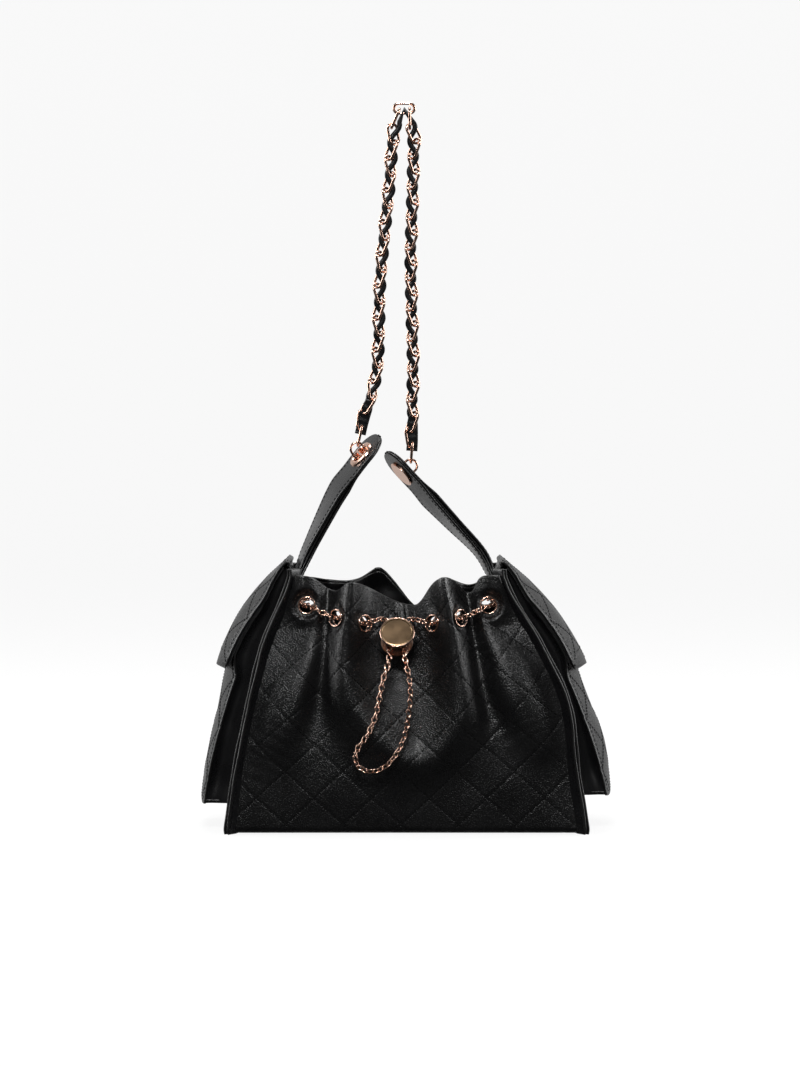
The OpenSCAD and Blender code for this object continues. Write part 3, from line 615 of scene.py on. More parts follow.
class Shader:
    """A Principled material with short ways to add and join nodes."""

    def __init__(self, name, **sockets):
        self.material = bpy.data.materials.new(name)
        self.material.use_nodes = True
        self.tree = self.material.node_tree
        self.shader = self.tree.nodes["Principled BSDF"]
        for key, value in sockets.items():
            self.shader.inputs[key.replace("_", " ")].default_value = value
        self.where = self.node("ShaderNodeTexCoord").outputs["Object"]

    def node(self, kind, inputs=None, **settings):
        node = self.tree.nodes.new(kind)
        for key, value in settings.items():
            setattr(node, key, value)
        for key, value in (inputs or {}).items():
            if isinstance(value, bpy.types.NodeSocket):
                self.tree.links.new(value, node.inputs[key])
            else:
                node.inputs[key].default_value = value
        return node

    def noise(self, scale, detail=3, roughness=0.55):
        found = self.node("ShaderNodeTexNoise", {"Vector": self.where, "Scale": scale,
                                                 "Detail": detail, "Roughness": roughness})
        return found.outputs["Fac"]

    def cells(self, scale, feature="F1", smoothness=0.4, vector=None):
        inputs = {"Vector": vector or self.where, "Scale": scale}
        node = self.node("ShaderNodeTexVoronoi", inputs, feature=feature)
        if feature == "SMOOTH_F1":
            node.inputs["Smoothness"].default_value = smoothness
        return node.outputs["Distance"]

    def ramp(self, value, low, high, to_low=0.0, to_high=1.0):
        node = self.node("ShaderNodeMapRange", {"Value": value, "From Min": low, "From Max": high,
                                                "To Min": to_low, "To Max": to_high},
                         interpolation_type="SMOOTHSTEP")
        return node.outputs["Result"]

    def maths(self, operation, a, b):
        return self.node("ShaderNodeMath", {0: a, 1: b}, operation=operation).outputs[0]

    def blend(self, share, a, b):
        node = self.node("ShaderNodeMix", {0: share, 6: a, 7: b}, data_type="RGBA")
        return node.outputs[2]

    def bump(self, height, distance, strength=1.0, below=None):
        inputs = {"Height": height, "Distance": distance, "Strength": strength}
        if below is not None:
            inputs["Normal"] = below
        return self.node("ShaderNodeBump", inputs).outputs["Normal"]

    def join(self, **outputs):
        for key, value in outputs.items():
            self.tree.links.new(value, self.shader.inputs[key.replace("_", " ")])
        return self.material


def grained_leather():
    """Black leather with a raised pebble grain, about 1.3 mm across."""
    s = Shader("grained_leather", Specular_IOR_Level=0.5)
    pebble = s.ramp(s.cells(860.0, "SMOOTH_F1", 0.3), 0.1, 0.7, 1.0, 0.0)
    fine = s.noise(2400.0, 2)
    broad = s.noise(38.0, 4)
    colour = s.blend(s.maths("MULTIPLY", pebble, s.ramp(broad, 0.3, 0.7, 0.5, 1.0)),
                     (0.0012, 0.0012, 0.0013, 1), (0.0045, 0.0045, 0.0048, 1))
    rough = s.maths("ADD", s.ramp(broad, 0.3, 0.7, 0.2, 0.27), s.ramp(pebble, 0, 1, 0.15, 0.0))
    normal = s.bump(fine, 0.00002, 0.4, s.bump(pebble, 0.00024, 0.7))
    return s.join(Base_Color=colour, Roughness=rough, Normal=normal)


def smooth_leather():
    """Black calf with a fine hair-cell grain and faint creases."""
    s = Shader("smooth_leather", Specular_IOR_Level=0.5)
    fine = s.ramp(s.cells(1900.0, "SMOOTH_F1", 0.5), 0.1, 0.8, 1.0, 0.0)
    crease = s.ramp(s.noise(210.0, 5, 0.65), 0.42, 0.6)
    broad = s.noise(30.0, 3)
    colour = s.blend(broad, (0.0014, 0.0014, 0.0016, 1), (0.0045, 0.0045, 0.005, 1))
    rough = s.ramp(broad, 0.3, 0.7, 0.22, 0.34)
    normal = s.bump(crease, 0.00008, 0.35, s.bump(fine, 0.00005, 0.6))
    return s.join(Base_Color=colour, Roughness=rough, Normal=normal)


def edge_paint():
    """Rubbery black paint on cut leather edges."""
    s = Shader("edge_paint", Specular_IOR_Level=0.5)
    uneven = s.noise(420.0, 3)
    colour = s.blend(uneven, (0.0015, 0.0015, 0.0015, 1), (0.004, 0.004, 0.0042, 1))
    return s.join(Base_Color=colour, Roughness=s.ramp(uneven, 0.3, 0.7, 0.28, 0.42),
                  Normal=s.bump(uneven, 0.0001, 0.4))


def thread():
    """Waxed black thread, twisted."""
    s = Shader("thread", Specular_IOR_Level=0.08)
    twist = s.node("ShaderNodeTexWave", {"Vector": s.where, "Scale": 900.0, "Distortion": 2.0})
    return s.join(Base_Color=s.blend(twist.outputs["Fac"], (0.001, 0.001, 0.001, 1),
                                     (0.004, 0.004, 0.0045, 1)),
                  Roughness=s.ramp(twist.outputs["Fac"], 0, 1, 0.9, 0.75),
                  Normal=s.bump(twist.outputs["Fac"], 0.00008, 0.6))


def lining_cloth():
    """Black twill lining."""
    s = Shader("lining_cloth", Sheen_Weight=0.25, Sheen_Roughness=0.4, Specular_IOR_Level=0.25)
    waves = [s.node("ShaderNodeTexWave", {"Vector": s.where, "Scale": 620.0, "Distortion": 0.6},
                    bands_direction=way).outputs["Fac"] for way in ("X", "Z", "DIAGONAL")]
    weave = s.maths("MULTIPLY", s.maths("MAXIMUM", waves[0], waves[1]), s.ramp(waves[2], 0, 1, 0.6, 1))
    return s.join(Base_Color=s.blend(weave, (0.0015, 0.0015, 0.0018, 1), (0.007, 0.007, 0.008, 1)),
                  Roughness=s.ramp(weave, 0, 1, 0.9, 0.7), Normal=s.bump(weave, 0.00015, 0.7))


def rose_gold():
    """Polished rose gold plate with faint handling marks."""
    s = Shader("rose_gold", Metallic=1.0)
    smear = s.noise(140.0, 4)
    scratch = s.noise(1500.0, 2)
    colour = s.blend(smear, (0.80, 0.50, 0.38, 1), (0.88, 0.61, 0.49, 1))
    return s.join(Base_Color=colour, Roughness=s.ramp(smear, 0.25, 0.75, 0.12, 0.24),
                  Normal=s.bump(scratch, 0.00002, 0.25))


def disc_gold():
    """Satin gold face with a fine circular brushing. Its colour is painted shade: the rose gold darkened
    far down to stand for the dark room its flat face mirrors.
    """
    s = Shader("disc_gold", Metallic=1.0)
    brushed = s.node("ShaderNodeTexNoise", {"Vector": s.where, "Scale": 2600.0, "Detail": 1.0})
    cloud = s.noise(70.0, 3)
    # Painted shade: dark brown colour stands in for the gold mirroring a dark room.
    colour = s.blend(cloud, (0.27, 0.18, 0.105, 1), (0.32, 0.215, 0.125, 1))
    return s.join(Base_Color=colour, Roughness=s.ramp(cloud, 0.3, 0.7, 0.27, 0.36),
                  Normal=s.bump(brushed.outputs["Fac"], 0.00002, 0.3))


def steel():
    s = Shader("steel_pin", Metallic=1.0, Base_Color=(0.55, 0.55, 0.57, 1))
    return s.join(Roughness=s.ramp(s.noise(400.0), 0.3, 0.7, 0.25, 0.4))


def backdrop_paper():
    s = Shader("backdrop_paper", Base_Color=(0.12, 0.12, 0.12, 1), Specular_IOR_Level=0.0)
    s.shader.inputs["Emission Color"].default_value = (1, 1, 1, 1)
    s.shader.inputs["Emission Strength"].default_value = 0.85
    return s.join(Roughness=s.ramp(s.noise(3.0), 0.3, 0.7, 0.75, 0.85))


GRAIN = grained_leather()
CALF = smooth_leather()
PAINT = edge_paint()
YARN = thread()
CLOTH = lining_cloth()
GOLD = rose_gold()
SHADED_DISC = disc_gold()
STEEL = steel()


# ---- Camera ----

CAMERA_AWAY = 3.0
CAMERA_RISE = 2.5
FRAME_H = 1067 * 0.84 * MM
VIEW_MID = Vector((-0.0055, -0.03, 0.2487))


def make_camera():
    """Nearly level and slightly above, with a long lens, looking at the front."""
    data = bpy.data.cameras.new("camera")
    data.sensor_width = 36
    data.lens = 36 * CAMERA_AWAY / FRAME_H
    camera = bpy.data.objects.new("camera", data)
    bpy.context.scene.collection.objects.link(camera)
    rise = math.radians(CAMERA_RISE)
    back = Vector((0, -math.cos(rise), math.sin(rise)))
    camera.location = VIEW_MID + back * CAMERA_AWAY
    camera.rotation_mode = "QUATERNION"
    camera.rotation_quaternion = (-back).to_track_quat("-Z", "Y")
    bpy.context.scene.camera = camera


# ---- Drawstring: small oval links, each turned a quarter to the last ----

CORD_LINK_L, CORD_LINK_W, CORD_LINK_WIRE, CORD_PITCH = 6.9, 5.2, 1.25, 4.5


def make_cord(name, route, over):
    line = Line(smooth(route, 4))
    heap = Heap()
    run = line.length - CORD_LINK_L + 1.0
    count = round(run / CORD_PITCH) + 1
    for k in range(count):
        d = (line.length - run) / 2 + run * k / (count - 1)
        t = line.way(d)
        a = unit(np.cross(over, t))
        b = np.cross(t, a)
        turn = math.radians(60 if k % 2 else -30)
        face = math.cos(turn) * b + math.sin(turn) * a
        tilt = math.radians(16 if k % 2 else -16) * min(1, k / 2, (count - 1 - k) / 2)
        lean = math.cos(tilt) * t + math.sin(tilt) * np.cross(face, t)
        heap.add(*oval_link(line.at(d), lean, face, CORD_LINK_L, CORD_LINK_W, CORD_LINK_WIRE))
    piece = heap.piece(name + "_chain", "bag", GOLD)
    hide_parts(name)


def make_cords():
    make_cord("drawstring_loop", LOOP_ROUTE, (0, 1, 0.2))
    make_cord("drawstring_left", LEFT_ROUTE, (0, 0, 1))
    make_cord("drawstring_right", RIGHT_ROUTE, (0, 0, 1))
    make_cord("drawstring_back", BACK_ROUTE, (0, 0, 1))


# ---- Front and back ----

PANEL_HOLE_R, FACING_HOLE_R = 6.4, 6.9


def make_panels():
    for face in (FRONT, BACK):
        name = FACE_NAMES[face]
        skin = PanelSkin(face)
        holes = [(centre, normal, PANEL_HOLE_R) for centre, normal in eyelet_frames(face)]
        panel = leather(name + "_quilted_panel", skin.p, LEATHER_T - 0.2, "bag", GRAIN, holes,
                        inner_blur=2)
        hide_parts(name + "_panel")
        heap = Heap()
        QUILTS[face].stitch(heap, skin, 190, 6, RIM_H)
        heap.piece(name + "_quilt_stitches", "bag", YARN, "grained_leather")
        make_facing(face, skin, holes)


def make_facing(face, skin, holes):
    """Smooth band inside the rim, sewn to it."""
    name = FACE_NAMES[face]
    rows = slice(int(PANEL_ROWS * 0.70), PANEL_ROWS - 1)
    grid = (skin.p - skin.n * (LEATHER_T - 0.1))[4:-4, rows][::2, ::2].copy()
    blur_rows(grid, 5)
    facing = leather(name + "_rim_facing", grid, FACING_T, "bag", CALF,
                     [(c, n, FACING_HOLE_R) for c, n, _ in holes])
    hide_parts(name + "_facing")


# ---- Sides, base and seams ----

def side_out(y, z):
    return half_w(z) + ((SIDE_BULGE * bulge(z) - SIDE_TUCK * (z / RIM_H) ** 4)
                        * (1 - (y / half_d(z)) ** 2))


def side_grid(side, columns=70, rows=120):
    v = np.linspace(-1, 1, columns + 1)[:, None]
    z = PANEL_LOW + (RIM_H - PANEL_LOW) * np.linspace(0, 1, rows + 1)[None, :]
    y = v * (half_d(z) - LEATHER_T - 0.3)
    foot = np.clip((FOOT_R - z) / FOOT_R, 0, 1)
    tuck = FOOT_R * (1 - np.sqrt(1 - foot ** 2))
    soft = 0.8 * np.sin(y / 9 + z / 25) * step(z, 20, 120) * (1 - v ** 2)
    folds = 2.2 * step(z, 120, 200) * (bell(y, -24, 7) + bell(y, 22, 8)) * (1 - step(z, 200, 214))
    out = side_out(y, z) - tuck + soft - folds + slouch(side, z) * v ** 4
    return np.stack([side * out + mid_x(z), side * y + 0 * z, z + 0 * v], axis=-1)


def make_sides():
    for side in (LEFT, RIGHT):
        name = SIDE_NAMES[side]
        panel = leather(name + "_side_leather", side_grid(side), LEATHER_T, "bag", GRAIN)
        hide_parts(name + "_side_panel")


def corner(side, face, z):
    return np.array([side * (half_w(z) + float(slouch(side, z))) + float(mid_x(z)), face * half_d(z), z])


SEAM_REACH, SEAM_LAYER_T, SEAM_LOW = 7.0, 2.3, 1.2


def make_seams():
    """At each corner two layers are sewn together and turned outwards."""
    for face in (FRONT, BACK):
        for side in (LEFT, RIGHT):
            name = f"{FACE_NAMES[face]}_{SIDE_NAMES[side]}_seam"
            zs = np.linspace(SEAM_LOW, RIM_H + 5, 110)
            spine = np.array([corner(side, face, z) for z in zs])
            out = unit([side, face, 0])
            across = np.array([-out[1], out[0], 0])
            reach = np.linspace(-0.5, 1, 9)
            threads = Heap()
            for layer in (1, -1):
                lean_out = 0.25 * np.sin(zs / 11 + layer) + 0.2 * np.sin(zs / 5.3 + 2 * layer)
                grid = np.zeros((len(reach), len(zs), 3))
                for i, r in enumerate(reach):
                    off = layer * (SEAM_LAYER_T + 0.12 + 0.35 * max(r, 0) ** 2) + lean_out * r
                    low_round = 1.6 * np.clip((6 - zs) / 6, 0, 1) ** 2 * r
                    grid[i] = spine + out * (SEAM_REACH * r - low_round)[:, None] + across * off[:, None]
                grid = turned_out(grid, across * layer)
                tag = "a" if layer > 0 else "b"
                leather(f"{name}_layer_{tag}", grid, SEAM_LAYER_T, "bag", CALF)
                skin = Skin(grid)
                ends = np.linalg.norm(grid[[0, -1], 50] - spine[50], axis=1)
                s = (1 if ends[1] > ends[0] else -1) * (skin.s[-1, 50] - 2.1)
                sew(threads, skin, [(s, 3), (s, skin.t[-1] - 2)], pitch=4.2, length=3.1)
            threads.piece(name + "_stitches", "bag", YARN, "smooth_leather")
            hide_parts(name)


def rounded_plate(w, d, r, n=10):
    """Outline of a rectangle with round corners, anticlockwise."""
    points = []
    for cx, cy, start in ((1, 1, 0), (-1, 1, 90), (-1, -1, 180), (1, -1, 270)):
        for k in range(n + 1):
            a = math.radians(start + 90 * k / n)
            points.append((cx * (w / 2 - r) + r * math.cos(a), cy * (d / 2 - r) + r * math.sin(a)))
    return np.array(points)


def make_base():
    """Base leather: a plate with a rounded edge."""
    outline = rounded_plate(BASE_W - 12, BASE_D - 12, 10)
    rings = []
    for inset, z in ((30, 0.6), (12, 0.25), (3, 0.0), (1.0, 0.15), (0, 1.1), (0, 2.0), (1.2, 2.9),
                     (30, 3.0)):
        scale = np.array([1 - 2 * inset / (BASE_W - 12), 1 - 2 * inset / (BASE_D - 12)])
        rings.append([(x * scale[0], y * scale[1], z) for x, y in outline])
    points, faces = tube(rings)
    plate = add_piece("base_leather", points, [f[::-1] for f in faces], "bag", [CALF])
    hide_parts("base_panel")


def make_lining():
    """Cloth bag inside, loose against the leather, open under the facings."""
    low, high = 6.5, 152
    inset = LEATHER_T + 1.2
    rings = []
    levels = [(z, 0.0) for z in np.linspace(high, low, 30)]
    levels += [(low, k) for k in (0.1, 0.3, 0.55, 0.8)]
    for z, shrink in levels:
        ring = []
        for face in (FRONT, BACK):
            u = np.linspace(-0.94, 0.94, 60)
            x = u * half_w(z)
            out = soft_out(face, -face * x, z) - inset - 1.6
            ring += [(-face * a + float(mid_x(z)), face * b, z) for a, b in zip(x, out)]
            side = -face
            v = np.linspace(-0.86, 0.86, 16)
            y = v * half_d(z)
            ring += [(side * (b - inset - 1.2) + float(mid_x(z)), side * a, z)
                     for a, b in zip(y, side_out(y, z))]
        ring = np.array(ring)
        fold = 0.7 * np.sin(np.arange(len(ring)) * 0.55 + z / 9) * step(z, 10, 40)
        centre = np.array([float(mid_x(z)), 0, z])
        ring = centre + (ring - centre) * (1 - shrink)
        ring[:, :2] *= (1 - fold / 110)[:, None]
        rings.append(ring)
    rings = np.array(rings)
    rings[0, :, 2] += 1.5 * np.sin(np.arange(rings.shape[1]) * 0.3)
    m, n = rings.shape[:2]
    inner = rings.reshape(-1, 3)
    spread = np.vstack([rings[i] * [1.008, 1.012, 1] - [0, 0, 0.5 if i > 29 else 0] for i in range(m)])
    q = m * n
    faces = []
    for i in range(m - 1):
        for j in range(n):
            k = (j + 1) % n
            a, b, c, d = i * n + j, i * n + k, (i + 1) * n + k, (i + 1) * n + j
            faces += [(a, b, c, d), (q + a, q + d, q + c, q + b)]
    faces += [(j, q + j, q + (j + 1) % n, (j + 1) % n) for j in range(n)]
    faces.append([(m - 1) * n + j for j in range(n)])
    faces.append([q + (m - 1) * n + j for j in range(n - 1, -1, -1)])
    cloth = add_piece("lining_cloth_bag", np.vstack([inner, spread]), faces, "bag", [CLOTH])
    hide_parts("lining")


# ---- Pockets and flaps ----

POCKET_CURVE = [(24, 4), (58, 5.5), (100, 7), (135, 11.5), (150, 11), (166, 7), (188, 2)]


def pocket_edge(z):
    return POCKET_REACH - 61 * (np.clip(np.asarray(z, float) - 20, 0, None) / 180) ** 1.4


def pocket_bulge(side, z):
    """How far the middle of a pocket stands out. The right one is fuller."""
    return np.interp(z, *zip(*POCKET_CURVE)) + (5 * bell(z, 78, 34) if side == RIGHT else 0)


POCKET_FOOT = {LEFT: POCKET_BASE, RIGHT: POCKET_BASE + 7}


def flap_room(side, z):
    """How far the edges of a pocket lie out at height z, just under the drooping flap."""
    centre, radius, root, tip = flap_arc(side)
    angle = np.linspace(tip, root, 60)
    r = radius - 4.6 - flap_droop(0.93, radius * (root - angle))
    x, height = centre[0] + r * np.cos(angle), centre[1] + r * np.sin(angle)
    under = np.interp(z, height, x) - side * mid_x(z)
    return np.maximum(under - pocket_edge(z), 0) * step(z, 126, 150)


def pocket_grid(side, columns=84, rows=150):
    v = np.linspace(-1, 1, columns + 1)[:, None]
    low = POCKET_FOOT[side]
    z = low + (POCKET_TOP - low) * np.linspace(0, 1, rows + 1)[None, :]
    out = pocket_edge(z) + pocket_bulge(side, z) * (1 - v ** 2) + flap_room(side, z) * v ** 6
    return np.stack([side * out + mid_x(z), side * v * POCKET_W / 2 + 0 * z, z + 0 * v], axis=-1)


def quilted(grid, quilt):
    skin = Skin(grid)
    lift = quilt.height(skin.s, skin.t[None, :] + 0 * skin.s)
    fade = step(skin.t[None, :], 2, 10) * (1 - step(skin.t[None, :], skin.t[-1] - 10, skin.t[-1] - 2))
    return grid + skin.n * (lift * fade)[..., None]


def edge_seam(heap, skin, inset, low=3.0):
    """Stitches along both sides of a sheet, and across its bottom."""
    for sign in (1, -1):
        sew(heap, skin, edge_path(skin, inset, low, skin.t[-1] - 3, sign), 3.8, 2.9)
    width = -skin.s[0, 0] - inset
    sew(heap, skin, [(-width, low), (width, low)], 3.8, 2.9)


def make_pockets():
    quilt = Quilt(46, 44, 0, 20)
    for side in (LEFT, RIGHT):
        name = SIDE_NAMES[side]
        grid = quilted(pocket_grid(side), quilt)
        scallop = 1.4 * np.abs(np.sin(np.linspace(0, 3 * math.pi, grid.shape[0])))
        low_rows = 1 - step(np.arange(grid.shape[1]), 0, 10)
        grid[..., 2] -= scallop[:, None] * low_rows[None, :]
        pocket = leather(name + "_pocket_leather", grid, LEATHER_T, "bag", GRAIN)
        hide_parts(name + "_pocket_face")
        skin = Skin(grid)
        heap = Heap()
        quilt.stitch(heap, skin, 60, 4, skin.t[-1] - 4)
        edge_seam(heap, skin, 3.5)
        heap.piece(name + "_pocket_stitches", "bag", YARN, "grained_leather")
        make_gusset(side)


GUSSET_T, GUSSET_TOP = 1.8, 219


def make_gusset(side):
    """A folded strip that joins the pocket to the side: two walls and a floor."""
    name = SIDE_NAMES[side]
    for end in (-1, 1):
        rows = 70
        z = np.linspace(POCKET_FOOT[side], GUSSET_TOP, rows + 1)[None, :]
        share = np.linspace(0, 1, 15)[:, None]
        wall = POCKET_W / 2 - 0.4
        inner = side_out(wall - 2, z) + 0.8 * slouch(side, z) - 0.5
        outer = np.maximum(pocket_edge(z) + flap_room(side, z) - LEATHER_T + 0.3, inner + 1.5)
        x = inner + (outer - inner) * share
        fold = (3.0 * np.sin(math.pi * share) * step(z, POCKET_FOOT[side], POCKET_FOOT[side] + 22)
                - 1.4 * np.sin(2 * math.pi * share) + 0.5 * np.sin(z / 9 + 3 * share))
        y = end * (wall - fold * np.clip((outer - inner) / 18, 0.15, 1))
        grid = np.stack([side * x + mid_x(z), y + 0 * z, z + 0 * share], axis=-1)
        grid = turned_out(grid, [0, end, 0])
        tag = "front" if end < 0 else "back"
        leather(f"{name}_pocket_gusset_{tag}", grid, GUSSET_T, "bag", CALF)
    z = POCKET_FOOT[side]
    v = np.linspace(-1, 1, 41)[:, None]
    share = np.linspace(0, 1, 11)[None, :]
    inner = side_out(v * 44, z) - 0.5
    outer = pocket_edge(z) + pocket_bulge(side, z) * (1 - v ** 2) - LEATHER_T + 0.4
    x = inner + (outer - inner) * share
    height = z + 0.5 - 2.4 * np.sin(math.pi * share) * (1 - v ** 4)
    grid = np.stack([side * x + float(mid_x(z)), v * (POCKET_W / 2 - 1) + 0 * share, height], axis=-1)
    grid = turned_out(grid, [0, 0, -1])
    leather(name + "_pocket_floor", grid, GUSSET_T, "bag", CALF)
    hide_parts(name + "_pocket_gusset")


def flap_arc(side):
    """Centre, radius, and root and tip angles of a flap's arc, drawn on the right."""
    ends = [np.array([p[0] + side * float(mid_x(p[1])), p[1]]) for p in (FLAP_ROOT, FLAP_TIP)]
    chord = ends[1] - ends[0]
    half = np.linalg.norm(chord) / 2
    radius = (half ** 2 + FLAP_SAG ** 2) / (2 * FLAP_SAG)
    c = chord / (2 * half)
    centre = (ends[0] + ends[1]) / 2 - (radius - FLAP_SAG) * np.array([-c[1], c[0]])
    angles = [math.atan2(*(p - centre)[::-1]) for p in ends]
    return centre, radius, angles[0], angles[1]


FLAP_CORNER = 15
FLAP_LAYER_T, FLAP_LINING_T = 2.2, 1.2
FLAP_CURL_R, FLAP_CURL_L, FLAP_DROP = 2.6, 7.5, 10.0
FLAP_SEAM_LOW = 4 + FLAP_CORNER * 0.7


def flap_droop(v, from_root):
    """How far a flap hangs down towards its front and back edges."""
    return FLAP_DROP * np.abs(v) ** 2.4 * step(from_root, 0, 42)


def flap_grid(side, inset, width, short=0.0, columns=72, rows=96):
    """A flap from its tip up to its root, where it rolls over and down."""
    centre, radius, root, tip = flap_arc(side)
    share = np.linspace(0, 1, rows + 1)[None, :]
    v = np.linspace(-1, 1, columns + 1)[:, None]
    length = radius * (root - tip) - short
    from_tip = (length + FLAP_CURL_L) * share
    d = np.maximum(length - from_tip, 0)
    curl = np.maximum(from_tip - length, 0) / FLAP_CURL_R
    corner = np.clip(1 - from_tip / FLAP_CORNER, 0, 1)
    half = width / 2 - FLAP_CORNER * (1 - np.sqrt(np.clip(1 - corner ** 2, 0.0, 1)))
    fade = np.exp(-(from_tip / 34) ** 2)
    wave = 0.9 * np.sin(3.1 * v + side) * fade
    droop = flap_droop(v, length - from_tip)
    angle = root - d / radius
    r = radius - inset + wave - droop
    out = np.array([math.cos(root), math.sin(root)])
    back = np.array([-out[1], out[0]])
    roll_r = FLAP_CURL_R - inset
    turn, rise = roll_r * (np.cos(curl) - 1), roll_r * np.sin(curl)
    x = centre[0] + r * np.cos(angle) + out[0] * turn + back[0] * rise
    z = centre[1] + r * np.sin(angle) + out[1] * turn + back[1] * rise
    return np.stack([side * x, side * v * half + 0 * x, z], axis=-1)


def make_flaps():
    quilt = Quilt(46, 44, 0, 6)
    for side in (LEFT, RIGHT):
        name = SIDE_NAMES[side]
        body = name + "_flap"
        grid = flap_grid(side, 0.0, FLAP_W - 2)
        grid = quilted(turned_out(grid, [side, 0, 0]), quilt)
        outer = leather(name + "_flap_leather", grid, FLAP_LAYER_T, body, GRAIN)
        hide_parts(name + "_flap")
        skin = Skin(grid)
        heap = Heap()
        quilt.stitch(heap, skin, 60, 4, skin.t[-1] - 4)
        edge_seam(heap, skin, 4.0, FLAP_SEAM_LOW)
        heap.piece(name + "_flap_stitches", body, YARN, "grained_leather")
        under = flap_grid(side, FLAP_LAYER_T + 0.1, FLAP_W - 5, 1.2, columns=48, rows=60)[:, :54]
        under = turned_out(under, [side, 0, 0])
        lining = leather(name + "_flap_lining_cloth", under, FLAP_LINING_T, body, CLOTH)
        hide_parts(name + "_flap_lining")
        make_flap_base(side)


def make_flap_base(side):
    """Strip of leather that the flap is sewn to, up from the top of the side."""
    name = SIDE_NAMES[side]
    z = np.linspace(206, 226.5, 22)[None, :]
    y = np.linspace(-41, 41, 60)[:, None]
    lip = 3.6 * step(z, 214, 226.5)
    x = 87.5 + side * float(mid_x(226)) + lip + 0.4 * np.sin(y / 7)
    grid = np.stack([side * x + 0 * y, side * y + 0 * z, z + 0 * y], axis=-1)
    strip = leather(name + "_flap_base_strip", grid, 1.8, "bag", CALF)
    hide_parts(name + "_flap_base")


# ---- Arms ----

ARM_PATH = {side: Line(smooth([(x, 0, z) for x, z in ARM_LINE[side]], 4)) for side in (LEFT, RIGHT)}


def arm_across(side, t, share):
    a = math.radians(TWIST[side] * share)
    y = np.array([0, 1, 0])
    return math.cos(a) * y + math.sin(a) * np.cross(t, y)


def arm_width(d):
    return ARM_W + (ARM_FOOT_W - ARM_W) * max(0, 1 - d / 50) ** 2


def tip_frame(side):
    """Place, way along the arm, way across it, and way out of its outer face, at the eyelet."""
    line = ARM_PATH[side]
    d = line.length - HARDWARE_BACK
    way = line.way(d)
    across = arm_across(side, way, 1)
    return line.at(d), way, across, np.cross(way, across) * -side


ARM_PAD = 1.7
ARM_HOLE_R = 9.2


def arm_pad(line, d):
    """Half the thickness of the padding between the two layers."""
    return ARM_PAD * step(d, 12, 40) * (1 - step(d, line.length - 58, line.length - 36))


def add_arm_core(side):
    """Padding between the two layers of an arm, seen along its edges."""
    line = ARM_PATH[side]
    rings = []
    for d in np.linspace(16, line.length - 38, 60):
        c, t = line.at(d), line.way(d)
        across = arm_across(side, t, min(1, d / line.length * 1.5))
        up = np.cross(t, across)
        wide, thick = arm_width(d) / 2 - 0.7, arm_pad(line, d) + 0.05
        turn = 2 * math.pi * np.arange(24) / 24
        rings.append([c + across * wide * math.copysign(abs(math.cos(a)) ** 0.3, math.cos(a))
                      + up * thick * math.copysign(abs(math.sin(a)) ** 0.6, math.sin(a)) for a in turn])
    points, faces = tube(rings)
    add_piece(SIDE_NAMES[side] + "_arm_padding", points, faces, "bag", [PAINT])


def arm_grid(side, layer, rows=110, columns=26):
    """Outer surface of one layer. Layer +1 lies to the left of the strap."""
    line = ARM_PATH[side]
    straight = line.length - ARM_W / 2
    ds = [straight * k / rows for k in range(rows + 1)]
    widths = [arm_width(d) for d in ds]
    for k in range(1, 13):
        a = math.radians(84 * k / 12)
        ds.append(straight + ARM_W / 2 * math.sin(a))
        widths.append(ARM_W * math.cos(a))
    grid = np.zeros((columns + 1, len(ds), 3))
    for j, (d, w) in enumerate(zip(ds, widths)):
        c, t = line.at(d), line.way(d)
        across = arm_across(side, t, min(1, d / line.length * 1.5))
        up = np.cross(t, across)
        spread = ARM_SPREAD * max(0, 1 - d / 34)
        for i in range(columns + 1):
            v = 2 * i / columns - 1
            crown = 0.35 * (1 - v * v) * min(1, (line.length - d) / 20 + 0.2)
            far = 0.05 + spread + ARM_T + crown - 0.35
            grid[i, j] = c + across * w / 2 * v + up * (far + arm_pad(line, d)) * layer
    return turned_out(grid, np.cross(line.way(60), [0, 1, 0]) * layer)


def make_arms():
    for side in (LEFT, RIGHT):
        name = SIDE_NAMES[side]
        place, _, _, out = tip_frame(side)
        add_arm_core(side)
        for kind, layer in (("outer", -side), ("inner", side)):
            grid = arm_grid(side, layer)
            strap = leather(f"{name}_arm_{kind}_strap", grid, ARM_T, "bag", CALF,
                            [(place, out, ARM_HOLE_R)])
            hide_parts(f"{name}_arm_{kind}")
            skin = Skin(grid)
            heap = Heap()
            for sign in (1, -1):
                sew(heap, skin, edge_path(skin, 3.0, 14, skin.t[-1] - 15, sign), 3.9, 3.0)
            heap.piece(f"{name}_arm_{kind}_stitches", "bag", YARN, "smooth_leather")


# ---- Lace in the shoulder chain ----

def ring_top(side):
    place, _, _, out = tip_frame(side)
    way = unit(RING_WAY[side])
    bar = place + out * (STRAP_T / 2 + 1.1)
    c = bar + way * (RING_L - RING_BACK - RING_W / 2)
    x, z = LEG_LINE[side][0]
    return c + RING_W / 2 * unit([x - c[0], 0, z - c[2]])


LEG_PATH = {side: Line(smooth([ring_top(side)] + [(x, 0, z) for x, z in LEG_LINE[side]], 4))
            for side in (LEFT, RIGHT)}
FIRST_LINK = (LINK_L - LINK_WIRE) / 2 - LINK_WIRE / 2 - RING_WIRE / 2 - 0.4
LACE_START, LACE_END_L = 9, 26


def link_step(side):
    run = LEG_PATH[side].length - FIRST_LINK
    count = 2 * round(run / LINK_PITCH / 2) + 1
    return run / (count - 1)


def lace_points(side):
    """The lace passes through each link and bulges away from each joint between links."""
    line = LEG_PATH[side]
    pitch = link_step(side)
    points = []
    start = LACE_START + LACE_END_L - 4
    for d in np.arange(start, line.length - 3, 1.1):
        phase = math.pi * (d - FIRST_LINK) / pitch
        ease = min(1, (d - start) / 12)
        sway = (-3.0 * math.sin(phase) - 0.9 * side) * ease
        points.append(line.at(d) + np.array([sway, 0.3 * ease, 0]))
    return points


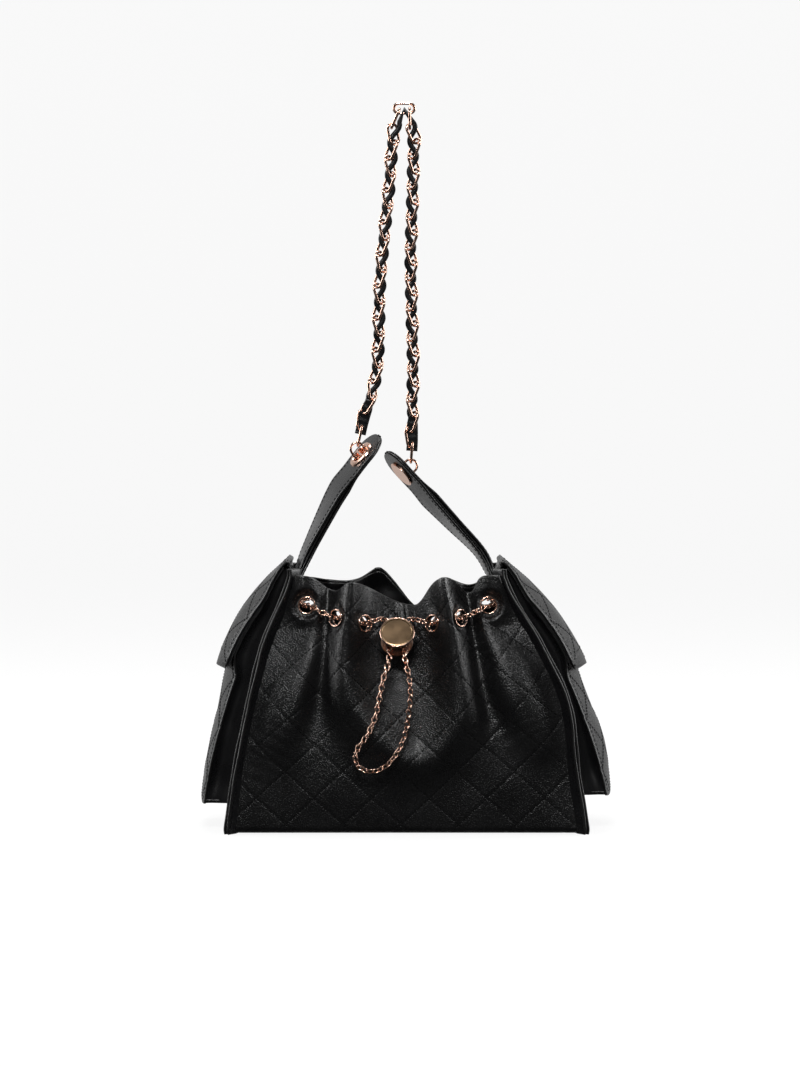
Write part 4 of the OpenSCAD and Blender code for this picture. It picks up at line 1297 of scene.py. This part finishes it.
def band(points, width, thick, over, sides=14):
    """A soft flat band along points, with the given way across its face."""
    line = np.asarray(points, float)
    rings = []
    for i in range(len(line)):
        t = unit(line[min(i + 1, len(line) - 1)] - line[max(i - 1, 0)])
        a = unit(np.cross(over, t))
        b = np.cross(t, a)
        ring = []
        for k in range(sides):
            angle = 2 * math.pi * k / sides
            c, s = math.cos(angle), math.sin(angle)
            x = math.copysign(abs(c) ** 0.7, c) * width / 2
            y = math.copysign(abs(s) ** 0.7, s) * thick / 2
            ring.append(line[i] + a * x + b * y)
        rings.append(ring)
    return rings


def make_lace():
    crest = np.array([TOP_LINK[0], -0.6, TOP_LINK[1] - 1])
    path = smooth(lace_points(LEFT) + [crest] + lace_points(RIGHT)[::-1], 1)
    points, faces = tube(band(path, 4.4, 3.0, (0, 1, 0)))
    lace = add_piece("woven_lace", points, faces, "shoulder_chain", [CALF])
    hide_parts("shoulder_lace")
    for side in (LEFT, RIGHT):
        line = LEG_PATH[side]
        name = SIDE_NAMES[side]
        ds = np.linspace(LACE_START - 1, LACE_START + LACE_END_L + 2, 40)
        grids = {}
        for face in (FRONT, BACK):
            grid = np.zeros((13, len(ds), 3))
            for j, d in enumerate(ds):
                t = line.way(d)
                a = unit(np.cross([0, 1, 0], t))
                taper = 1 - 0.3 * step(d, LACE_START + LACE_END_L - 6, LACE_START + LACE_END_L + 2)
                for i in range(13):
                    v = i / 6 - 1
                    puffed = 1.65 - 0.35 * v * v + 0.12 * math.sin(d * 1.1)
                    grid[i, j] = line.at(d) + a * 4.1 * v * taper + np.array([0, face * puffed, 0])
            grids[face] = turned_out(grid, [0, face, 0])
        heap = Heap()
        for face, grid in grids.items():
            tag = FACE_NAMES[face]
            leather(f"{name}_lace_end_{tag}", grid, 1.5, "shoulder_chain", CALF)
            skin = Skin(grid)
            for s in (-2.6, 2.6):
                sew(heap, skin, [(s, 2), (s, skin.t[-1] - 3)], 3.2, 2.3, thread=0.22)
        heap.piece(f"{name}_lace_end_stitches", "shoulder_chain", YARN, "smooth_leather")
        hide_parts(name + "_lace_end")


# ---- Toggle ----

def make_toggle_rim():
    """Polished bead round the disc's satin face."""
    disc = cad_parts["toggle_disc"]
    points = np.array([disc.matrix_world @ v.co for v in disc.data.vertices]) / MM
    out = unit([0, -0.8, 0.6])
    depth = points @ out
    rim = points[depth > depth.max() - 0.5]
    centre = rim.mean(axis=0)
    centre = centre + out * (depth.max() - centre @ out - 0.75)
    rel = points - centre
    radius = np.linalg.norm(rel - np.outer(rel @ out, out), axis=1).max() - 0.45
    points, faces = wire_ring(centre, out, radius, 1.24, 96, 10)
    add_piece("toggle_disc_bead", points, faces, "toggle", [GOLD])


CAD_LOOKS = {
    "toggle_disc": SHADED_DISC, "toggle_rivet": STEEL, "base_board": CLOTH,
    "toggle_barrel": GOLD, "toggle_flange": GOLD, "top_chain_link": GOLD,
}
for one in SIDE_NAMES.values():
    for part in ("snap_socket", "snap_stud", "arm_eyelet", "arm_bar", "arm_cap", "end_ring",
                 "chain_links"):
        CAD_LOOKS[f"{one}_{part}"] = GOLD


EYELET_R, EYELET_WIRE, EYELET_BACK = 6.9, 1.5, -3.9


def make_eyelets():
    """Each rim eyelet is a thin polished ring on the leather and another inside it."""
    for face in (FRONT, BACK):
        heap = Heap()
        for centre, normal in eyelet_frames(face):
            for depth in (0.45, EYELET_BACK):
                heap.add(*wire_ring(centre + normal * depth, normal, EYELET_R, EYELET_WIRE))
        piece = heap.piece(FACE_NAMES[face] + "_eyelet_rings", "bag", GOLD)
        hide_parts(FACE_NAMES[face] + "_eyelets")


def dress_cad_nodes():
    for node, look in CAD_LOOKS.items():
        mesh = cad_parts[node].data
        mesh.materials.clear()
        mesh.materials.append(look)


# ---- Studio ----

def add_light(name, place, size, power, aim=(0, 0, 0.2)):
    data = bpy.data.lights.new(name, "AREA")
    data.shape = "RECTANGLE"
    data.size, data.size_y = size
    data.energy = power
    light = bpy.data.objects.new(name, data)
    bpy.context.scene.collection.objects.link(light)
    light.location = place
    light.rotation_mode = "QUATERNION"
    light.rotation_quaternion = (Vector(aim) - Vector(place)).to_track_quat("-Z", "Y")


STAGE_R, STAGE_BEND, STAGE_TOP = 4.4, 1.8, 7.0


def make_stage():
    """A round sweep of pale paper. It isn't mirrored in the object, so the leather stays black."""
    profile = [(0.0, 0.0), (1.0, 0.0), (STAGE_R, 0.0)]
    for a in range(9, 91, 9):
        turn = math.radians(a)
        profile.append((STAGE_R + STAGE_BEND * math.sin(turn), STAGE_BEND * (1 - math.cos(turn))))
    profile.append((STAGE_R + STAGE_BEND, STAGE_TOP))
    around, n = 64, len(profile)
    points, faces = [], []
    for k in range(around):
        turn = 2 * math.pi * k / around
        points += [(r * math.cos(turn), r * math.sin(turn), z) for r, z in profile]
        after = (k + 1) % around
        faces += [(k * n + j, after * n + j, after * n + j + 1, k * n + j + 1) for j in range(n - 1)]
    mesh = bpy.data.meshes.new("backdrop")
    mesh.from_pydata(points, [], faces)
    mesh.polygons.foreach_set("use_smooth", [True] * len(faces))
    mesh.materials.append(backdrop_paper())
    backdrop = bpy.data.objects.new("backdrop", mesh)
    bpy.context.scene.collection.objects.link(backdrop)
    backdrop.visible_glossy = False


def make_studio():
    """Soft boxes in front above, at both sides and behind above, in a dim room."""
    make_stage()
    add_light("front_softbox", (-0.15, -1.9, 1.75), (0.6, 0.3), 34)
    add_light("left_softbox", (-1.9, 0.2, 0.9), (0.8, 1.5), 34)
    add_light("right_softbox", (1.9, 0.2, 0.9), (0.8, 1.5), 34)
    add_light("top_softbox", (0.0, 0.6, 2.0), (1.2, 0.6), 18)
    world = bpy.data.worlds.new("studio")
    bpy.context.scene.world = world
    world.use_nodes = True
    tree = world.node_tree
    where = tree.nodes.new("ShaderNodeTexCoord")
    split = tree.nodes.new("ShaderNodeSeparateXYZ")
    add = tree.nodes.new("ShaderNodeMath")
    tree.links.new(where.outputs["Generated"], split.inputs[0])
    for k, (axis, low, high, most) in enumerate((("Z", 0.3, 1.0, 0.14), ("Y", 0.3, 0.8, 0.55))):
        ramp = tree.nodes.new("ShaderNodeMapRange")
        tree.links.new(split.outputs[axis], ramp.inputs["Value"])
        for key, value in (("From Min", low), ("From Max", high), ("To Min", 0.015), ("To Max", most)):
            ramp.inputs[key].default_value = value
        tree.links.new(ramp.outputs["Result"], add.inputs[k])
    background = tree.nodes["Background"]
    background.inputs["Color"].default_value = (1, 1, 1, 1)
    tree.links.new(add.outputs[0], background.inputs["Strength"])
    bpy.context.scene.view_settings.view_transform = "Standard"
    bpy.context.scene.view_settings.look = "None"


make_camera()
make_cords()
make_panels()
make_sides()
make_seams()
make_base()
make_lining()
make_pockets()
make_flaps()
make_arms()
make_lace()
make_toggle_rim()
make_eyelets()
dress_cad_nodes()
make_studio()
